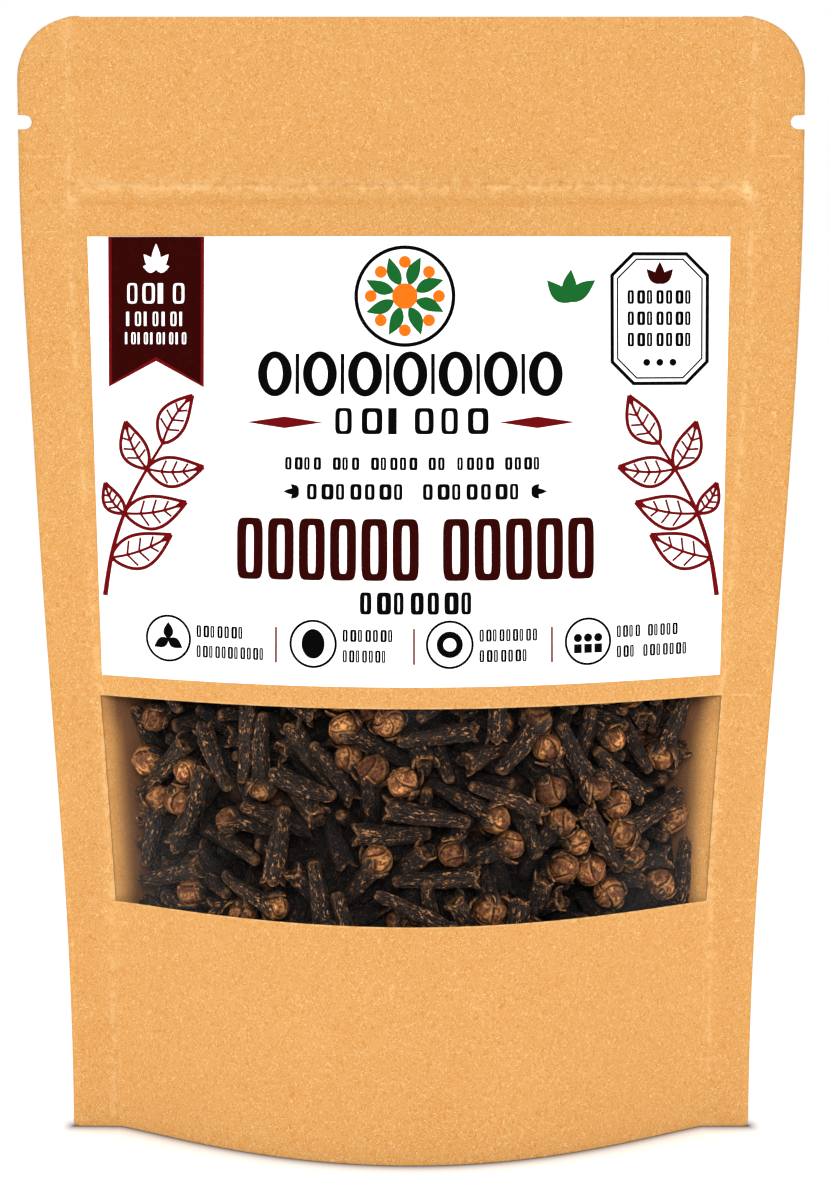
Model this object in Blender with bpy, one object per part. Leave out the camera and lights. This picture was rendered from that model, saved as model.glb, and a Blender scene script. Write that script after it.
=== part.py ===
"""A shut kraft stand-up pouch with a clear window, filled with whole cloves.

The pouch stands on its oval base with its front face towards -Y. Its side seals lie in
the plane y = 0 and its base on z = 0. All sizes are in metres.
"""

import itertools
import math

import bmesh
import bpy
import numpy as np
from mathutils import Matrix, Vector

MM = 0.001

# Pouch sheet
POUCH_WIDTH = 130 * MM
POUCH_HEIGHT = 186 * MM
SIDE_SEAL = 7.5 * MM
SEAL_SHEET = 1.0 * MM
WALL = 0.5 * MM
TOP_CORNER_RADIUS = 10 * MM
BASE_CORNER_RADIUS = 0.8 * MM
NOTCH_HEIGHT = 168.8 * MM
NOTCH_DEPTH = 2.3 * MM
NOTCH_RADIUS = 1.15 * MM
NOTCH_FLARE = 0.2 * MM
EDGE_ROWS = 12

# Form of the filled pouch
BASE_BULGE = 26 * MM
BULGE_TOP = 163 * MM
PANEL_TOP = BULGE_TOP - 0.5 * MM
PANEL_ROUNDNESS = 1.15
PULL_IN = 2 / 3

# Zip ridges pressed through both panels
ZIP_RIDGES = (155.6 * MM, 158.4 * MM)
RIDGE_HALF_HEIGHT = 0.55 * MM
RIDGE_RELIEF = 0.3 * MM
RIDGE_ROOT = 0.18 * MM
RIDGE_END_MARGIN = 0.5 * MM

# Base gusset, folded up inside the bottom edge
GUSSET_GROOVE = 4 * MM
GUSSET_GROOVE_WIDTH = 5 * MM
GUSSET_CORNER_RISE = 11 * MM
GUSSET_FLAT_SHARE = 0.35
UNDER_GROUND = 1.6 * MM
CUTTER_FOOT = 5 * MM
INNER_FLOOR = 5 * MM
HOLLOW_TOP = BULGE_TOP - 12 * MM

# Window, film and label
GAP = 0.3 * MM
WINDOW_LOW = 38.7 * MM
WINDOW_HIGH = 73.6 * MM
WINDOW_SIDE_MARGIN = 2.5 * MM
FILM = 0.3 * MM
FILM_LAP = 3 * MM
FILM_SIDE_MARGIN = 1.8 * MM
LABEL = 0.3 * MM
LABEL_LOW = 77.1 * MM
LABEL_HIGH = 150 * MM
LABEL_HALF_LOW = 51.7 * MM
LABEL_HALF_HIGH = 53.0 * MM

# Heap of cloves
FILL_HEIGHT = 92 * MM
HEAP_HALF_WIDTH = 45 * MM
FRONT_CLEARANCE = WALL + FILM + 3 * GAP
BACK_CLEARANCE = WALL + 3 * GAP
SIDE_SLANT = 1.2
HEAP_LOW = 31 * MM
HEAP_HIGH = 81 * MM
CORE_HALF_WIDTH = 43 * MM
CORE_SETBACK = 4.2 * MM
CORE_STEP_LOW = HEAP_LOW - 6 * MM
CORE_STEP_RISE = 5 * MM
CORE_THINNEST = 1.2 * MM
HEAP_THICKNESS = 12 * MM
CLOVE_COUNT = 250
STEM_LENGTH = (10.5 * MM, 14 * MM)
STEM_RADIUS = (1.4 * MM, 1.8 * MM)
BUD_GIRTH = (1.5, 1.66)
LOBE_GIRTH = 1.35
BUD_SHARE = 0.4
STEM_LEAN = 0.38
BUD_LEAN = 0.55
FACING_SHARE = 0.6
SEED = 7

# Sides of a clove, in stem radii
TIP_TAPER = 0.66
CUP_FOOT = 0.8
CUP_LIFT = 0.4
CUP_OPEN = 1.6
CUP_OVER_BUD = 1.3

# Settling of the heap
SETTLING_STEPS = 220
PRESSED_STEPS = 150
PRESS = 0.05 * MM
FIRM_PUSH = 0.75
SOFT_PUSH = 0.45
CONTACT_SHARE = 0.35
NEAR_MARGIN = 1 * MM
SLOPE_STEP = 0.5 * MM

# Cloves near enough to the window to be modelled
SHOWN_DEPTH = 4.2 * MM
SHOWN_LOW = WINDOW_LOW - 4 * MM
SHOWN_HIGH = WINDOW_HIGH + 4 * MM

# Cells across, through and up each curved solid
PANEL_CELLS = (22, 2, 13)
HOLLOW_CELLS = (22, 2, 12)
BASE_CELLS = (18, 12, 1)
RIDGE_CELLS = (14, 1, 2)
FILM_CELLS = (14, 1, 3)
LABEL_CELLS = (14, 1, 5)
CORE_CELLS = (14, 1, 9)

FLAT_HALF = POUCH_WIDTH / 2 - SIDE_SEAL


def bulge(z):
    """How far each panel bows out from the seal plane at height z."""
    return BASE_BULGE * np.cos(np.pi / 2 * np.clip(z / BULGE_TOP, 0, 1))


def crease_half(z):
    """Half the width between the side seals, which pull in as the panels bow out."""
    return FLAT_HALF - PULL_IN * bulge(z) ** 2 / FLAT_HALF


def panel_depth(x, z):
    """Distance of a panel's outside from the seal plane."""
    across = np.clip(1 - (x / crease_half(z)) ** 2, 0, 1)
    return bulge(z) * across**PANEL_ROUNDNESS


def inset_half(z, inset):
    """Half width of the pouch's section where the panels are still deeper than inset."""
    share = np.clip(inset / np.maximum(bulge(z), 1e-9), 0, 1)
    return crease_half(z) * np.sqrt(1 - share ** (1 / PANEL_ROUNDNESS))


def gusset_rise(s):
    """How far the gusset climbs towards the corners; s runs from -1 to 1 across."""
    share = np.clip((np.abs(s) - GUSSET_FLAT_SHARE) / (1 - GUSSET_FLAT_SHARE), 0, 1)
    return GUSSET_CORNER_RISE * share**2


def new_collection(name):
    collection = bpy.data.collections.new(name)
    bpy.context.scene.collection.children.link(collection)
    return collection


def new_object(name, mesh, collection):
    piece = bpy.data.objects.new(name, mesh)
    collection.objects.link(piece)
    return piece


def material(name, colour, roughness, alpha=1.0):
    made = bpy.data.materials.new(name)
    made.use_nodes = True
    shader = made.node_tree.nodes["Principled BSDF"]
    shader.inputs["Base Color"].default_value = (*colour, 1)
    shader.inputs["Roughness"].default_value = roughness
    shader.inputs["Metallic"].default_value = 0.0
    shader.inputs["Alpha"].default_value = alpha
    return made


def wrapped_box(name, collection, cells, place):
    """A cube cut into cells along s, t and h, each point moved to place(s, t, h).

    s runs from -1 to 1 across, t from -1 at the front to 1 at the back, and h from 0
    at the bottom to 1 at the top.
    """
    shape = bmesh.new()
    bmesh.ops.create_cube(shape, size=2)
    for axis, count in enumerate(cells):
        normal = Vector((axis == 0, axis == 1, axis == 2))
        for cut in range(1, count):
            bmesh.ops.bisect_plane(
                shape,
                geom=shape.verts[:] + shape.edges[:] + shape.faces[:],
                plane_co=normal * (2 * cut / count - 1),
                plane_no=normal,
            )
    for vertex in shape.verts:
        s, t, h = vertex.co
        vertex.co = place(math.sin(math.pi / 2 * s), t, (h + 1) / 2)
    bmesh.ops.remove_doubles(shape, verts=shape.verts, dist=1e-6)
    bmesh.ops.recalc_face_normals(shape, faces=shape.faces)
    mesh = bpy.data.meshes.new(name)
    shape.to_mesh(mesh)
    shape.free()
    return new_object(name, mesh, collection)


def bag_form(name, collection, cells, inset, bottom, top):
    """A solid that follows both panels at an inset, between two height functions of s and t."""

    def place(s, t, h):
        low, high = bottom(s, t), top(s, t)
        z = low + (high - low) * h
        x = inset_half(z, inset) * s
        return x, t * max(panel_depth(x, z) - inset, 0), z

    return wrapped_box(name, collection, cells, place)


def front_skin(name, collection, cells, half_at, low, high, outer, inner):
    """A thin curved sheet along the front panel, between two distances from its outside."""

    def place(s, t, h):
        z = low + (high - low) * h
        x = half_at(z) * s
        off = inner if t > 0 else outer
        return x, -(max(panel_depth(x, z), SEAL_SHEET / 2) + off), z

    return wrapped_box(name, collection, cells, place)


def boolean(piece, operation, operand):
    """Applies one Boolean of another object, or of a whole collection, to a piece."""
    step = piece.modifiers.new(operation.title(), "BOOLEAN")
    step.operation = operation
    if isinstance(operand, bpy.types.Collection):
        step.operand_type = "COLLECTION"
        step.collection = operand
    else:
        step.object = operand
    evaluated = piece.evaluated_get(bpy.context.evaluated_depsgraph_get())
    mesh = bpy.data.meshes.new_from_object(evaluated)
    piece.modifiers.remove(step)
    piece.data = mesh


def side_edge(z):
    """Outer edge of the side seal at height z."""
    return float(crease_half(z)) + SIDE_SEAL


def arc(centre, radius, start, end, steps):
    """Points along an arc, angles in degrees."""
    points = []
    for step in range(steps + 1):
        angle = math.radians(start + (end - start) * step / steps)
        points.append(
            (centre[0] + radius * math.cos(angle), centre[1] + radius * math.sin(angle))
        )
    return points


def right_hand_outline():
    """The sheet's right edge from the base to the top, with its notch and corners."""
    corner = side_edge(0) - BASE_CORNER_RADIUS
    points = arc((corner, BASE_CORNER_RADIUS), BASE_CORNER_RADIUS, -90, 0, 3)
    notch_low = NOTCH_HEIGHT - NOTCH_RADIUS - NOTCH_FLARE
    for row in range(1, EDGE_ROWS):
        z = notch_low * row / EDGE_ROWS
        points.append((side_edge(z), z))
    points.append((side_edge(notch_low), notch_low))
    notch_x = side_edge(NOTCH_HEIGHT) - NOTCH_DEPTH + NOTCH_RADIUS
    points += arc((notch_x, NOTCH_HEIGHT), NOTCH_RADIUS, 270, 90, 6)
    points.append((side_edge(NOTCH_HEIGHT), NOTCH_HEIGHT + NOTCH_RADIUS + NOTCH_FLARE))
    centre = (POUCH_WIDTH / 2 - TOP_CORNER_RADIUS, POUCH_HEIGHT - TOP_CORNER_RADIUS)
    points += arc(centre, TOP_CORNER_RADIUS, 0, 90, 8)
    return points


def upright_plate(name, outline, thickness, collection):
    """A flat outline in the x-z plane made a closed plate of the given thickness."""
    curve = bpy.data.curves.new(name, "CURVE")
    curve.dimensions = "2D"
    curve.fill_mode = "BOTH"
    curve.extrude = thickness / 2
    line = curve.splines.new("POLY")
    line.points.add(len(outline) - 1)
    for point, (x, z) in zip(line.points, outline):
        point.co = (x, z, 0, 1)
    line.use_cyclic_u = True
    drawn = new_object(name + "_outline", curve, collection)
    drawn.matrix_world = Matrix.Rotation(math.radians(90), 4, "X")
    bpy.context.view_layer.update()
    evaluated = drawn.evaluated_get(bpy.context.evaluated_depsgraph_get())
    mesh = bpy.data.meshes.new_from_object(evaluated)
    mesh.transform(drawn.matrix_world)
    bpy.data.objects.remove(drawn)
    shape = bmesh.new()
    shape.from_mesh(mesh)
    bmesh.ops.remove_doubles(shape, verts=shape.verts, dist=1e-6)
    bmesh.ops.recalc_face_normals(shape, faces=shape.faces)
    shape.to_mesh(mesh)
    shape.free()
    return new_object(name, mesh, collection)


def gusset_underside(s, t):
    """Underside of the base panel: flat on the ground, with a groove inside the rim.

    Where the base is flat this lies under the ground, so that nothing is cut there.
    """
    rim_distance = (1 - abs(t)) * BASE_BULGE * (1 - s * s)
    nearness = max(1 - rim_distance / GUSSET_GROOVE_WIDTH, 0)
    groove = (GUSSET_GROOVE + UNDER_GROUND) * nearness - UNDER_GROUND
    return max(groove, float(gusset_rise(s)) - UNDER_GROUND)


def build_pouch(parts, cutters):
    """The kraft pouch: panels, seals, zip ridges and gusset, hollow behind the window."""
    right = right_hand_outline()
    left = [(-x, z) for x, z in reversed(right)]
    pouch = upright_plate("pouch", right + left, SEAL_SHEET, parts)

    body = bag_form(
        "panels", cutters, PANEL_CELLS, 0.0, lambda s, t: 0.0, lambda s, t: PANEL_TOP
    )
    boolean(pouch, "UNION", body)

    for number, height in enumerate(ZIP_RIDGES):

        def ridge(s, t, h, height=height):
            z = height + (2 * h - 1) * RIDGE_HALF_HEIGHT
            x = (FLAT_HALF - RIDGE_END_MARGIN) * s
            crown = 1 - (2 * h - 1) ** 2
            proud = (RIDGE_RELIEF + RIDGE_ROOT) * crown - RIDGE_ROOT
            return x, t * (max(panel_depth(x, z), SEAL_SHEET / 2) + proud), z

        bar = wrapped_box(f"zip_ridge_{number}", cutters, RIDGE_CELLS, ridge)
        boolean(pouch, "UNION", bar)

    hollow = bag_form(
        "hollow", cutters, HOLLOW_CELLS, WALL,
        lambda s, t: INNER_FLOOR + float(gusset_rise(s)), lambda s, t: HOLLOW_TOP,
    )
    boolean(pouch, "DIFFERENCE", hollow)

    base = bag_form(
        "base_fold", cutters, BASE_CELLS, WALL, lambda s, t: -CUTTER_FOOT, gusset_underside
    )
    boolean(pouch, "DIFFERENCE", base)

    corners = []
    for z in (WINDOW_LOW, WINDOW_HIGH):
        corners.append((float(crease_half(z)) - WINDOW_SIDE_MARGIN, z))
    outline = corners + [(-x, z) for x, z in reversed(corners)]
    window = upright_plate("window_cut", outline, 2 * BASE_BULGE, cutters)
    window.data.transform(Matrix.Translation((0, -BASE_BULGE, 0)))
    boolean(pouch, "DIFFERENCE", window)
    keep_largest_body(pouch)
    return pouch


def build_film(parts):
    """The clear film, behind the panel and lapping the window's edges."""
    return front_skin(
        "window_film", parts, FILM_CELLS,
        lambda z: float(crease_half(z)) - FILM_SIDE_MARGIN,
        WINDOW_LOW - FILM_LAP, WINDOW_HIGH + FILM_LAP,
        -(WALL + GAP), -(WALL + GAP + FILM),
    )


def build_label(parts):
    """The paper label on the front panel, above the window."""

    def half(z):
        share = (z - LABEL_LOW) / (LABEL_HIGH - LABEL_LOW)
        return LABEL_HALF_LOW + (LABEL_HALF_HIGH - LABEL_HALF_LOW) * share

    return front_skin(
        "label", parts, LABEL_CELLS, half, LABEL_LOW, LABEL_HIGH, GAP + LABEL, GAP
    )


def film_inside(x, z):
    """How far forward of the seal plane the heap may reach, just inside the film."""
    return panel_depth(x, z) - FRONT_CLEARANCE


def back_inside(x, z):
    """How far back the heap may reach, just inside the back panel."""
    return panel_depth(x, z) - BACK_CLEARANCE


def heap_half(z, radius):
    """Half the width in which a ball of that radius fits between the film and the back."""
    return inset_half(z, FRONT_CLEARANCE + SIDE_SLANT * radius)


def slanted(x, z, radius):
    """A radius measured along y from a panel that slopes sideways."""
    slope = (panel_depth(x + SLOPE_STEP, z) - panel_depth(x - SLOPE_STEP, z)) / (2 * SLOPE_STEP)
    return radius * np.hypot(1, slope)


def heap_front(x, z, radius):
    """Where the middle of a ball of that radius lies when it touches the film's inside."""
    return slanted(x, z, radius) - film_inside(x, z)


def heap_back(x, z, radius):
    """Where it touches the back panel, or the depth that the heap is settled to."""
    back_panel = back_inside(x, z) - slanted(x, z, radius)
    return np.minimum(heap_front(x, z, radius) + HEAP_THICKNESS, back_panel)


def drawn_cloves():
    """Loose cloves behind the window: each a stick from its tip to its thicker head."""
    rng = np.random.default_rng(SEED)
    count = CLOVE_COUNT
    length = rng.uniform(*STEM_LENGTH, count)
    stem = rng.uniform(*STEM_RADIUS, count)
    has_bud = rng.random(count) < BUD_SHARE
    girth = np.where(has_bud, rng.uniform(*BUD_GIRTH, count), LOBE_GIRTH)
    x = rng.uniform(-HEAP_HALF_WIDTH, HEAP_HALF_WIDTH, count)
    z = rng.uniform(HEAP_LOW, HEAP_HIGH, count)
    y = heap_front(x, z, stem) + rng.uniform(0, HEAP_THICKNESS, count)
    turn = rng.uniform(0, 2 * np.pi, count)
    lean = rng.normal(0, STEM_LEAN, count)
    lean -= BUD_LEAN * (has_bud & (rng.random(count) < FACING_SHARE))
    axis = [np.cos(turn) * np.cos(lean), np.sin(lean), np.sin(turn) * np.cos(lean)]
    reach = np.stack(axis, axis=1) * length[:, None] / 2
    middle = np.stack([x, y, z], axis=1)
    return {
        "tip": middle - reach,
        "head": middle + reach,
        "length": length,
        "stem": stem,
        "crown": stem * girth,
        "has_bud": has_bud,
    }


def closest_shares(a0, a1, low_a, b0, b1, low_b):
    """Shares, from low to 1, along two sets of sticks at which they come closest."""
    u, v, w = a1 - a0, b1 - b0, a0 - b0
    uu, uv, vv = (u * u).sum(1), (u * v).sum(1), (v * v).sum(1)
    uw, vw = (u * w).sum(1), (v * w).sum(1)
    share_a = np.clip((uv * vw - vv * uw) / np.maximum(uu * vv - uv * uv, 1e-14), low_a, 1)
    share_b = np.clip((uv * share_a + vw) / vv, low_b, 1)
    share_a = np.clip((uv * share_b - uw) / uu, low_a, 1)
    return share_a, share_b


def contact_moves(cloves, first, second, easing):
    """Moves of every tip and head that push apart the pairs closer than their thickness.

    Each clove is met along its whole stick as a stem, and at its end as a crown.
    """
    tip, head = cloves["tip"], cloves["head"]
    tip_move, head_move = np.zeros_like(tip), np.zeros_like(head)
    hits = np.ones(len(tip))
    ways = ((0, "stem"), (1, "crown"))
    for (low_a, girth_a), (low_b, girth_b) in itertools.product(ways, ways):
        share_a, share_b = closest_shares(
            tip[first], head[first], low_a, tip[second], head[second], low_b
        )
        on_a = tip[first] + (head[first] - tip[first]) * share_a[:, None]
        on_b = tip[second] + (head[second] - tip[second]) * share_b[:, None]
        apart = on_a - on_b
        distance = np.maximum(np.linalg.norm(apart, axis=1), 1e-7)
        overlap = np.maximum(cloves[girth_a][first] + cloves[girth_b][second] - distance, 0)
        push = apart * (overlap * easing / distance)[:, None]
        meets = overlap > 0
        for clove, share, move in ((first, share_a, push), (second, share_b, -push)):
            np.add.at(tip_move, clove[meets], move[meets] * (1 - share[meets, None]))
            np.add.at(head_move, clove[meets], move[meets] * share[meets, None])
            np.add.at(hits, clove[meets], CONTACT_SHARE)
    return tip_move / hits[:, None], head_move / hits[:, None]


def hold_in_pouch(cloves):
    """Keeps each tip and head between the film and the heap's back, and each length."""
    for end, girth in (("tip", "stem"), ("head", "crown")):
        point = cloves[end]
        point[:, 2] = np.clip(point[:, 2], HEAP_LOW, HEAP_HIGH)
        half = heap_half(point[:, 2], cloves[girth])
        point[:, 0] = np.clip(point[:, 0], -half, half)
        front = heap_front(point[:, 0], point[:, 2], cloves[girth])
        back = heap_back(point[:, 0], point[:, 2], cloves[girth])
        point[:, 1] = np.maximum(np.minimum(point[:, 1], back), front)
    span = cloves["head"] - cloves["tip"]
    middle = (cloves["head"] + cloves["tip"]) / 2
    reach = span * (cloves["length"] / np.linalg.norm(span, axis=1))[:, None] / 2
    cloves["tip"] = middle - reach
    cloves["head"] = middle + reach


def settled_cloves():
    """Cloves pressed against the film, pushed apart step by step until they only touch."""
    cloves = drawn_cloves()
    first, second = np.triu_indices(CLOVE_COUNT, 1)
    for step in range(SETTLING_STEPS):
        middle = (cloves["tip"] + cloves["head"]) / 2
        reach = (cloves["length"] / 2 + cloves["crown"]) + NEAR_MARGIN / 2
        between = np.linalg.norm(middle[first] - middle[second], axis=1)
        near = between < reach[first] + reach[second]
        easing = FIRM_PUSH if step < PRESSED_STEPS else SOFT_PUSH
        tip_move, head_move = contact_moves(cloves, first[near], second[near], easing)
        cloves["tip"] += tip_move
        cloves["head"] += head_move
        if step < PRESSED_STEPS:
            cloves["tip"][:, 1] -= PRESS
            cloves["head"][:, 1] -= PRESS
        hold_in_pouch(cloves)
    return cloves


def aimed(start, end):
    """A matrix that puts the origin at start and +Z towards end."""
    direction = (end - start).normalized()
    return Matrix.Translation(start) @ direction.to_track_quat("Z", "Y").to_matrix().to_4x4()


def primitive(name, collection, make, matrix, **sizes):
    shape = bmesh.new()
    make(shape, matrix=matrix, **sizes)
    mesh = bpy.data.meshes.new(name)
    shape.to_mesh(mesh)
    shape.free()
    return new_object(name, mesh, collection)


def build_clove(number, collection, tip, head, stem, crown, has_bud):
    """One clove: a tapered stem, the square cup of its four lobes and, if kept, its bud."""
    length = (head - tip).length
    frame = aimed(tip, head) @ Matrix.Rotation(number, 4, "Z")
    primitive(
        f"stem_{number}", collection, bmesh.ops.create_cone,
        frame @ Matrix.Translation((0, 0, length / 2)),
        cap_ends=True, segments=5, radius1=stem * TIP_TAPER, radius2=stem, depth=length,
    )
    cup_reach = stem * (CUP_OVER_BUD if has_bud else CUP_OPEN)
    primitive(
        f"cup_{number}", collection, bmesh.ops.create_cone,
        frame @ Matrix.Translation((0, 0, length - cup_reach / 2 + stem * CUP_LIFT)),
        cap_ends=True, segments=4, radius1=stem * CUP_FOOT, radius2=crown, depth=cup_reach,
    )
    if has_bud:
        primitive(
            f"bud_{number}", collection, bmesh.ops.create_icosphere,
            frame @ Matrix.Translation((0, 0, length)), subdivisions=1, radius=crown,
        )


def keep_largest_body(piece):
    """Closes hairline seams, and drops loose scraps and the skins of sealed hollows."""
    shape = bmesh.new()
    shape.from_mesh(piece.data)
    bmesh.ops.triangulate(shape, faces=shape.faces)
    bmesh.ops.remove_doubles(shape, verts=shape.verts, dist=2e-6)
    left, bodies = set(shape.faces), []
    while left:
        body, edge = [], [left.pop()]
        while edge:
            face = edge.pop()
            body.append(face)
            for side in face.edges:
                for other in side.link_faces:
                    if other in left:
                        left.discard(other)
                        edge.append(other)
        bodies.append(body)
    bodies.sort(key=len)
    for body in bodies[:-1]:
        bmesh.ops.delete(shape, geom=body, context="FACES")
    shape.to_mesh(piece.data)
    shape.free()


def build_cloves(parts):
    """The heap of cloves: a core that fills the pouch, and the cloves that the window shows."""

    def core_place(s, t, h):
        low = INNER_FLOOR + GAP + float(gusset_rise(s))
        z = low + (FILL_HEIGHT - low) * h
        x = min(float(inset_half(z, FRONT_CLEARANCE)), CORE_HALF_WIDTH) * s
        back = float(back_inside(x, z))
        front = -float(film_inside(x, z))
        front += CORE_SETBACK * min(max((z - CORE_STEP_LOW) / CORE_STEP_RISE, 0), 1)
        front = min(front, back - CORE_THINNEST)
        return x, front + (back - front) * (t + 1) / 2, z

    heap = wrapped_box("cloves", parts, CORE_CELLS, core_place)
    pieces = new_collection("shown_cloves")
    cloves = settled_cloves()
    for number in range(CLOVE_COUNT):
        tip, head = Vector(cloves["tip"][number]), Vector(cloves["head"][number])
        depth = min(end.y + float(film_inside(end.x, end.z)) for end in (tip, head))
        level = (tip.z + head.z) / 2
        if depth < SHOWN_DEPTH and SHOWN_LOW < level < SHOWN_HIGH:
            build_clove(
                number, pieces, tip, head, float(cloves["stem"][number]),
                float(cloves["crown"][number]), bool(cloves["has_bud"][number]),
            )
    bpy.context.view_layer.update()
    boolean(heap, "UNION", pieces)
    for piece in list(pieces.objects):
        bpy.data.objects.remove(piece)
    bpy.data.collections.remove(pieces)
    keep_largest_body(heap)
    return heap


def main():
    for old in list(bpy.data.objects):
        bpy.data.objects.remove(old)
    parts = new_collection("clove_pouch")
    cutters = new_collection("cutters")
    kraft = material("kraft_paper", (0.80, 0.44, 0.14), 0.8)
    label_paper = material("label_paper", (0.92, 0.92, 0.92), 0.5)
    film = material("clear_film", (0.9, 0.9, 0.9), 0.1, 0.25)
    clove = material("clove", (0.055, 0.032, 0.022), 0.75)

    build_pouch(parts, cutters).data.materials.append(kraft)
    build_film(parts).data.materials.append(film)
    build_label(parts).data.materials.append(label_paper)
    build_cloves(parts).data.materials.append(clove)
    for cutter in cutters.objects:
        cutter.hide_render = True
        cutter.display_type = "WIRE"


main()
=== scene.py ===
"""Looks for a shut kraft paper stand-up pouch with a clear window, filled with whole cloves.

Everything is in metres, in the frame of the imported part: the pouch stands on z = 0, its
front faces -Y and its side seals lie in the plane y = 0. Each sub-assembly is a class that
works out its surfaces as whole numpy arrays and dresses them with a finish.
"""

import itertools
import logging
import math
from dataclasses import dataclass
from enum import Enum
from typing import Sequence

import bpy
import numpy as np
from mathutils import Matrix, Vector


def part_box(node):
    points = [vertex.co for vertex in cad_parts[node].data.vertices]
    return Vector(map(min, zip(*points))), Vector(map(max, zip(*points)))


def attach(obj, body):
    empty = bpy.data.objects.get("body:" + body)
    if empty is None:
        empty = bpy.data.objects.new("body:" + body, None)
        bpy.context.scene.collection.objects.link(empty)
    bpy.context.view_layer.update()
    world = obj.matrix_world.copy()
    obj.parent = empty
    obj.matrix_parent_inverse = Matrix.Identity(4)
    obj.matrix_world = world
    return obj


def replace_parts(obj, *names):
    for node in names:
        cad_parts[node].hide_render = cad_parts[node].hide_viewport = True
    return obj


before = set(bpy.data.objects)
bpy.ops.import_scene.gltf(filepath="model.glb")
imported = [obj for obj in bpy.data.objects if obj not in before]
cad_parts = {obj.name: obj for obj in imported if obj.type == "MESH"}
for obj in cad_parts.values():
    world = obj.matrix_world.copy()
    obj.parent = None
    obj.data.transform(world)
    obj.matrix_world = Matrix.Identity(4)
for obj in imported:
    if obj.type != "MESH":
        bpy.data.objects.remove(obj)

LOG = logging.getLogger("clove_pouch")
MM = 0.001
BODY = "root"

PRINT_CELL = 1.4 * MM
"""About how long the cells of a printed bar are."""
ARC_STEP = 0.5 * MM
"""About how long the cells of a printed ring are."""
HOOP_STEPS, LEAF_STEPS, SIDE_STEPS = 40, 16, 8
"""Cells round a hoop, along a leaf, and along each side of a closed line."""
QUARTERS = 4
"""A clove has four lobes, and its bud four petals."""
FAR = 9 * MM
"""A distance from every crease and press, where neither shows."""
TINY = 1e-12
"""Keeps a divisor from being nought."""

Colour = tuple[float, float, float, float]
Place = tuple[float, float]
Socket = bpy.types.NodeSocket


def smooth_step(value: np.ndarray, low: float, high: float) -> np.ndarray:
    """Rises from 0 at low to 1 at high as 3s^2 - 2s^3, with s the clipped share between them."""
    share = np.clip((value - low) / (high - low), 0, 1)
    return share * share * (3 - 2 * share)


def ridge(value: np.ndarray, width: float) -> np.ndarray:
    """A bell of height 1 round zero: e to the power -(value / width)^2."""
    return np.exp(-((value / width) ** 2))


def unit(vectors: np.ndarray) -> np.ndarray:
    """Vectors divided by their lengths, along the last axis."""
    return vectors / np.maximum(np.linalg.norm(vectors, axis=-1, keepdims=True), TINY)


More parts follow.
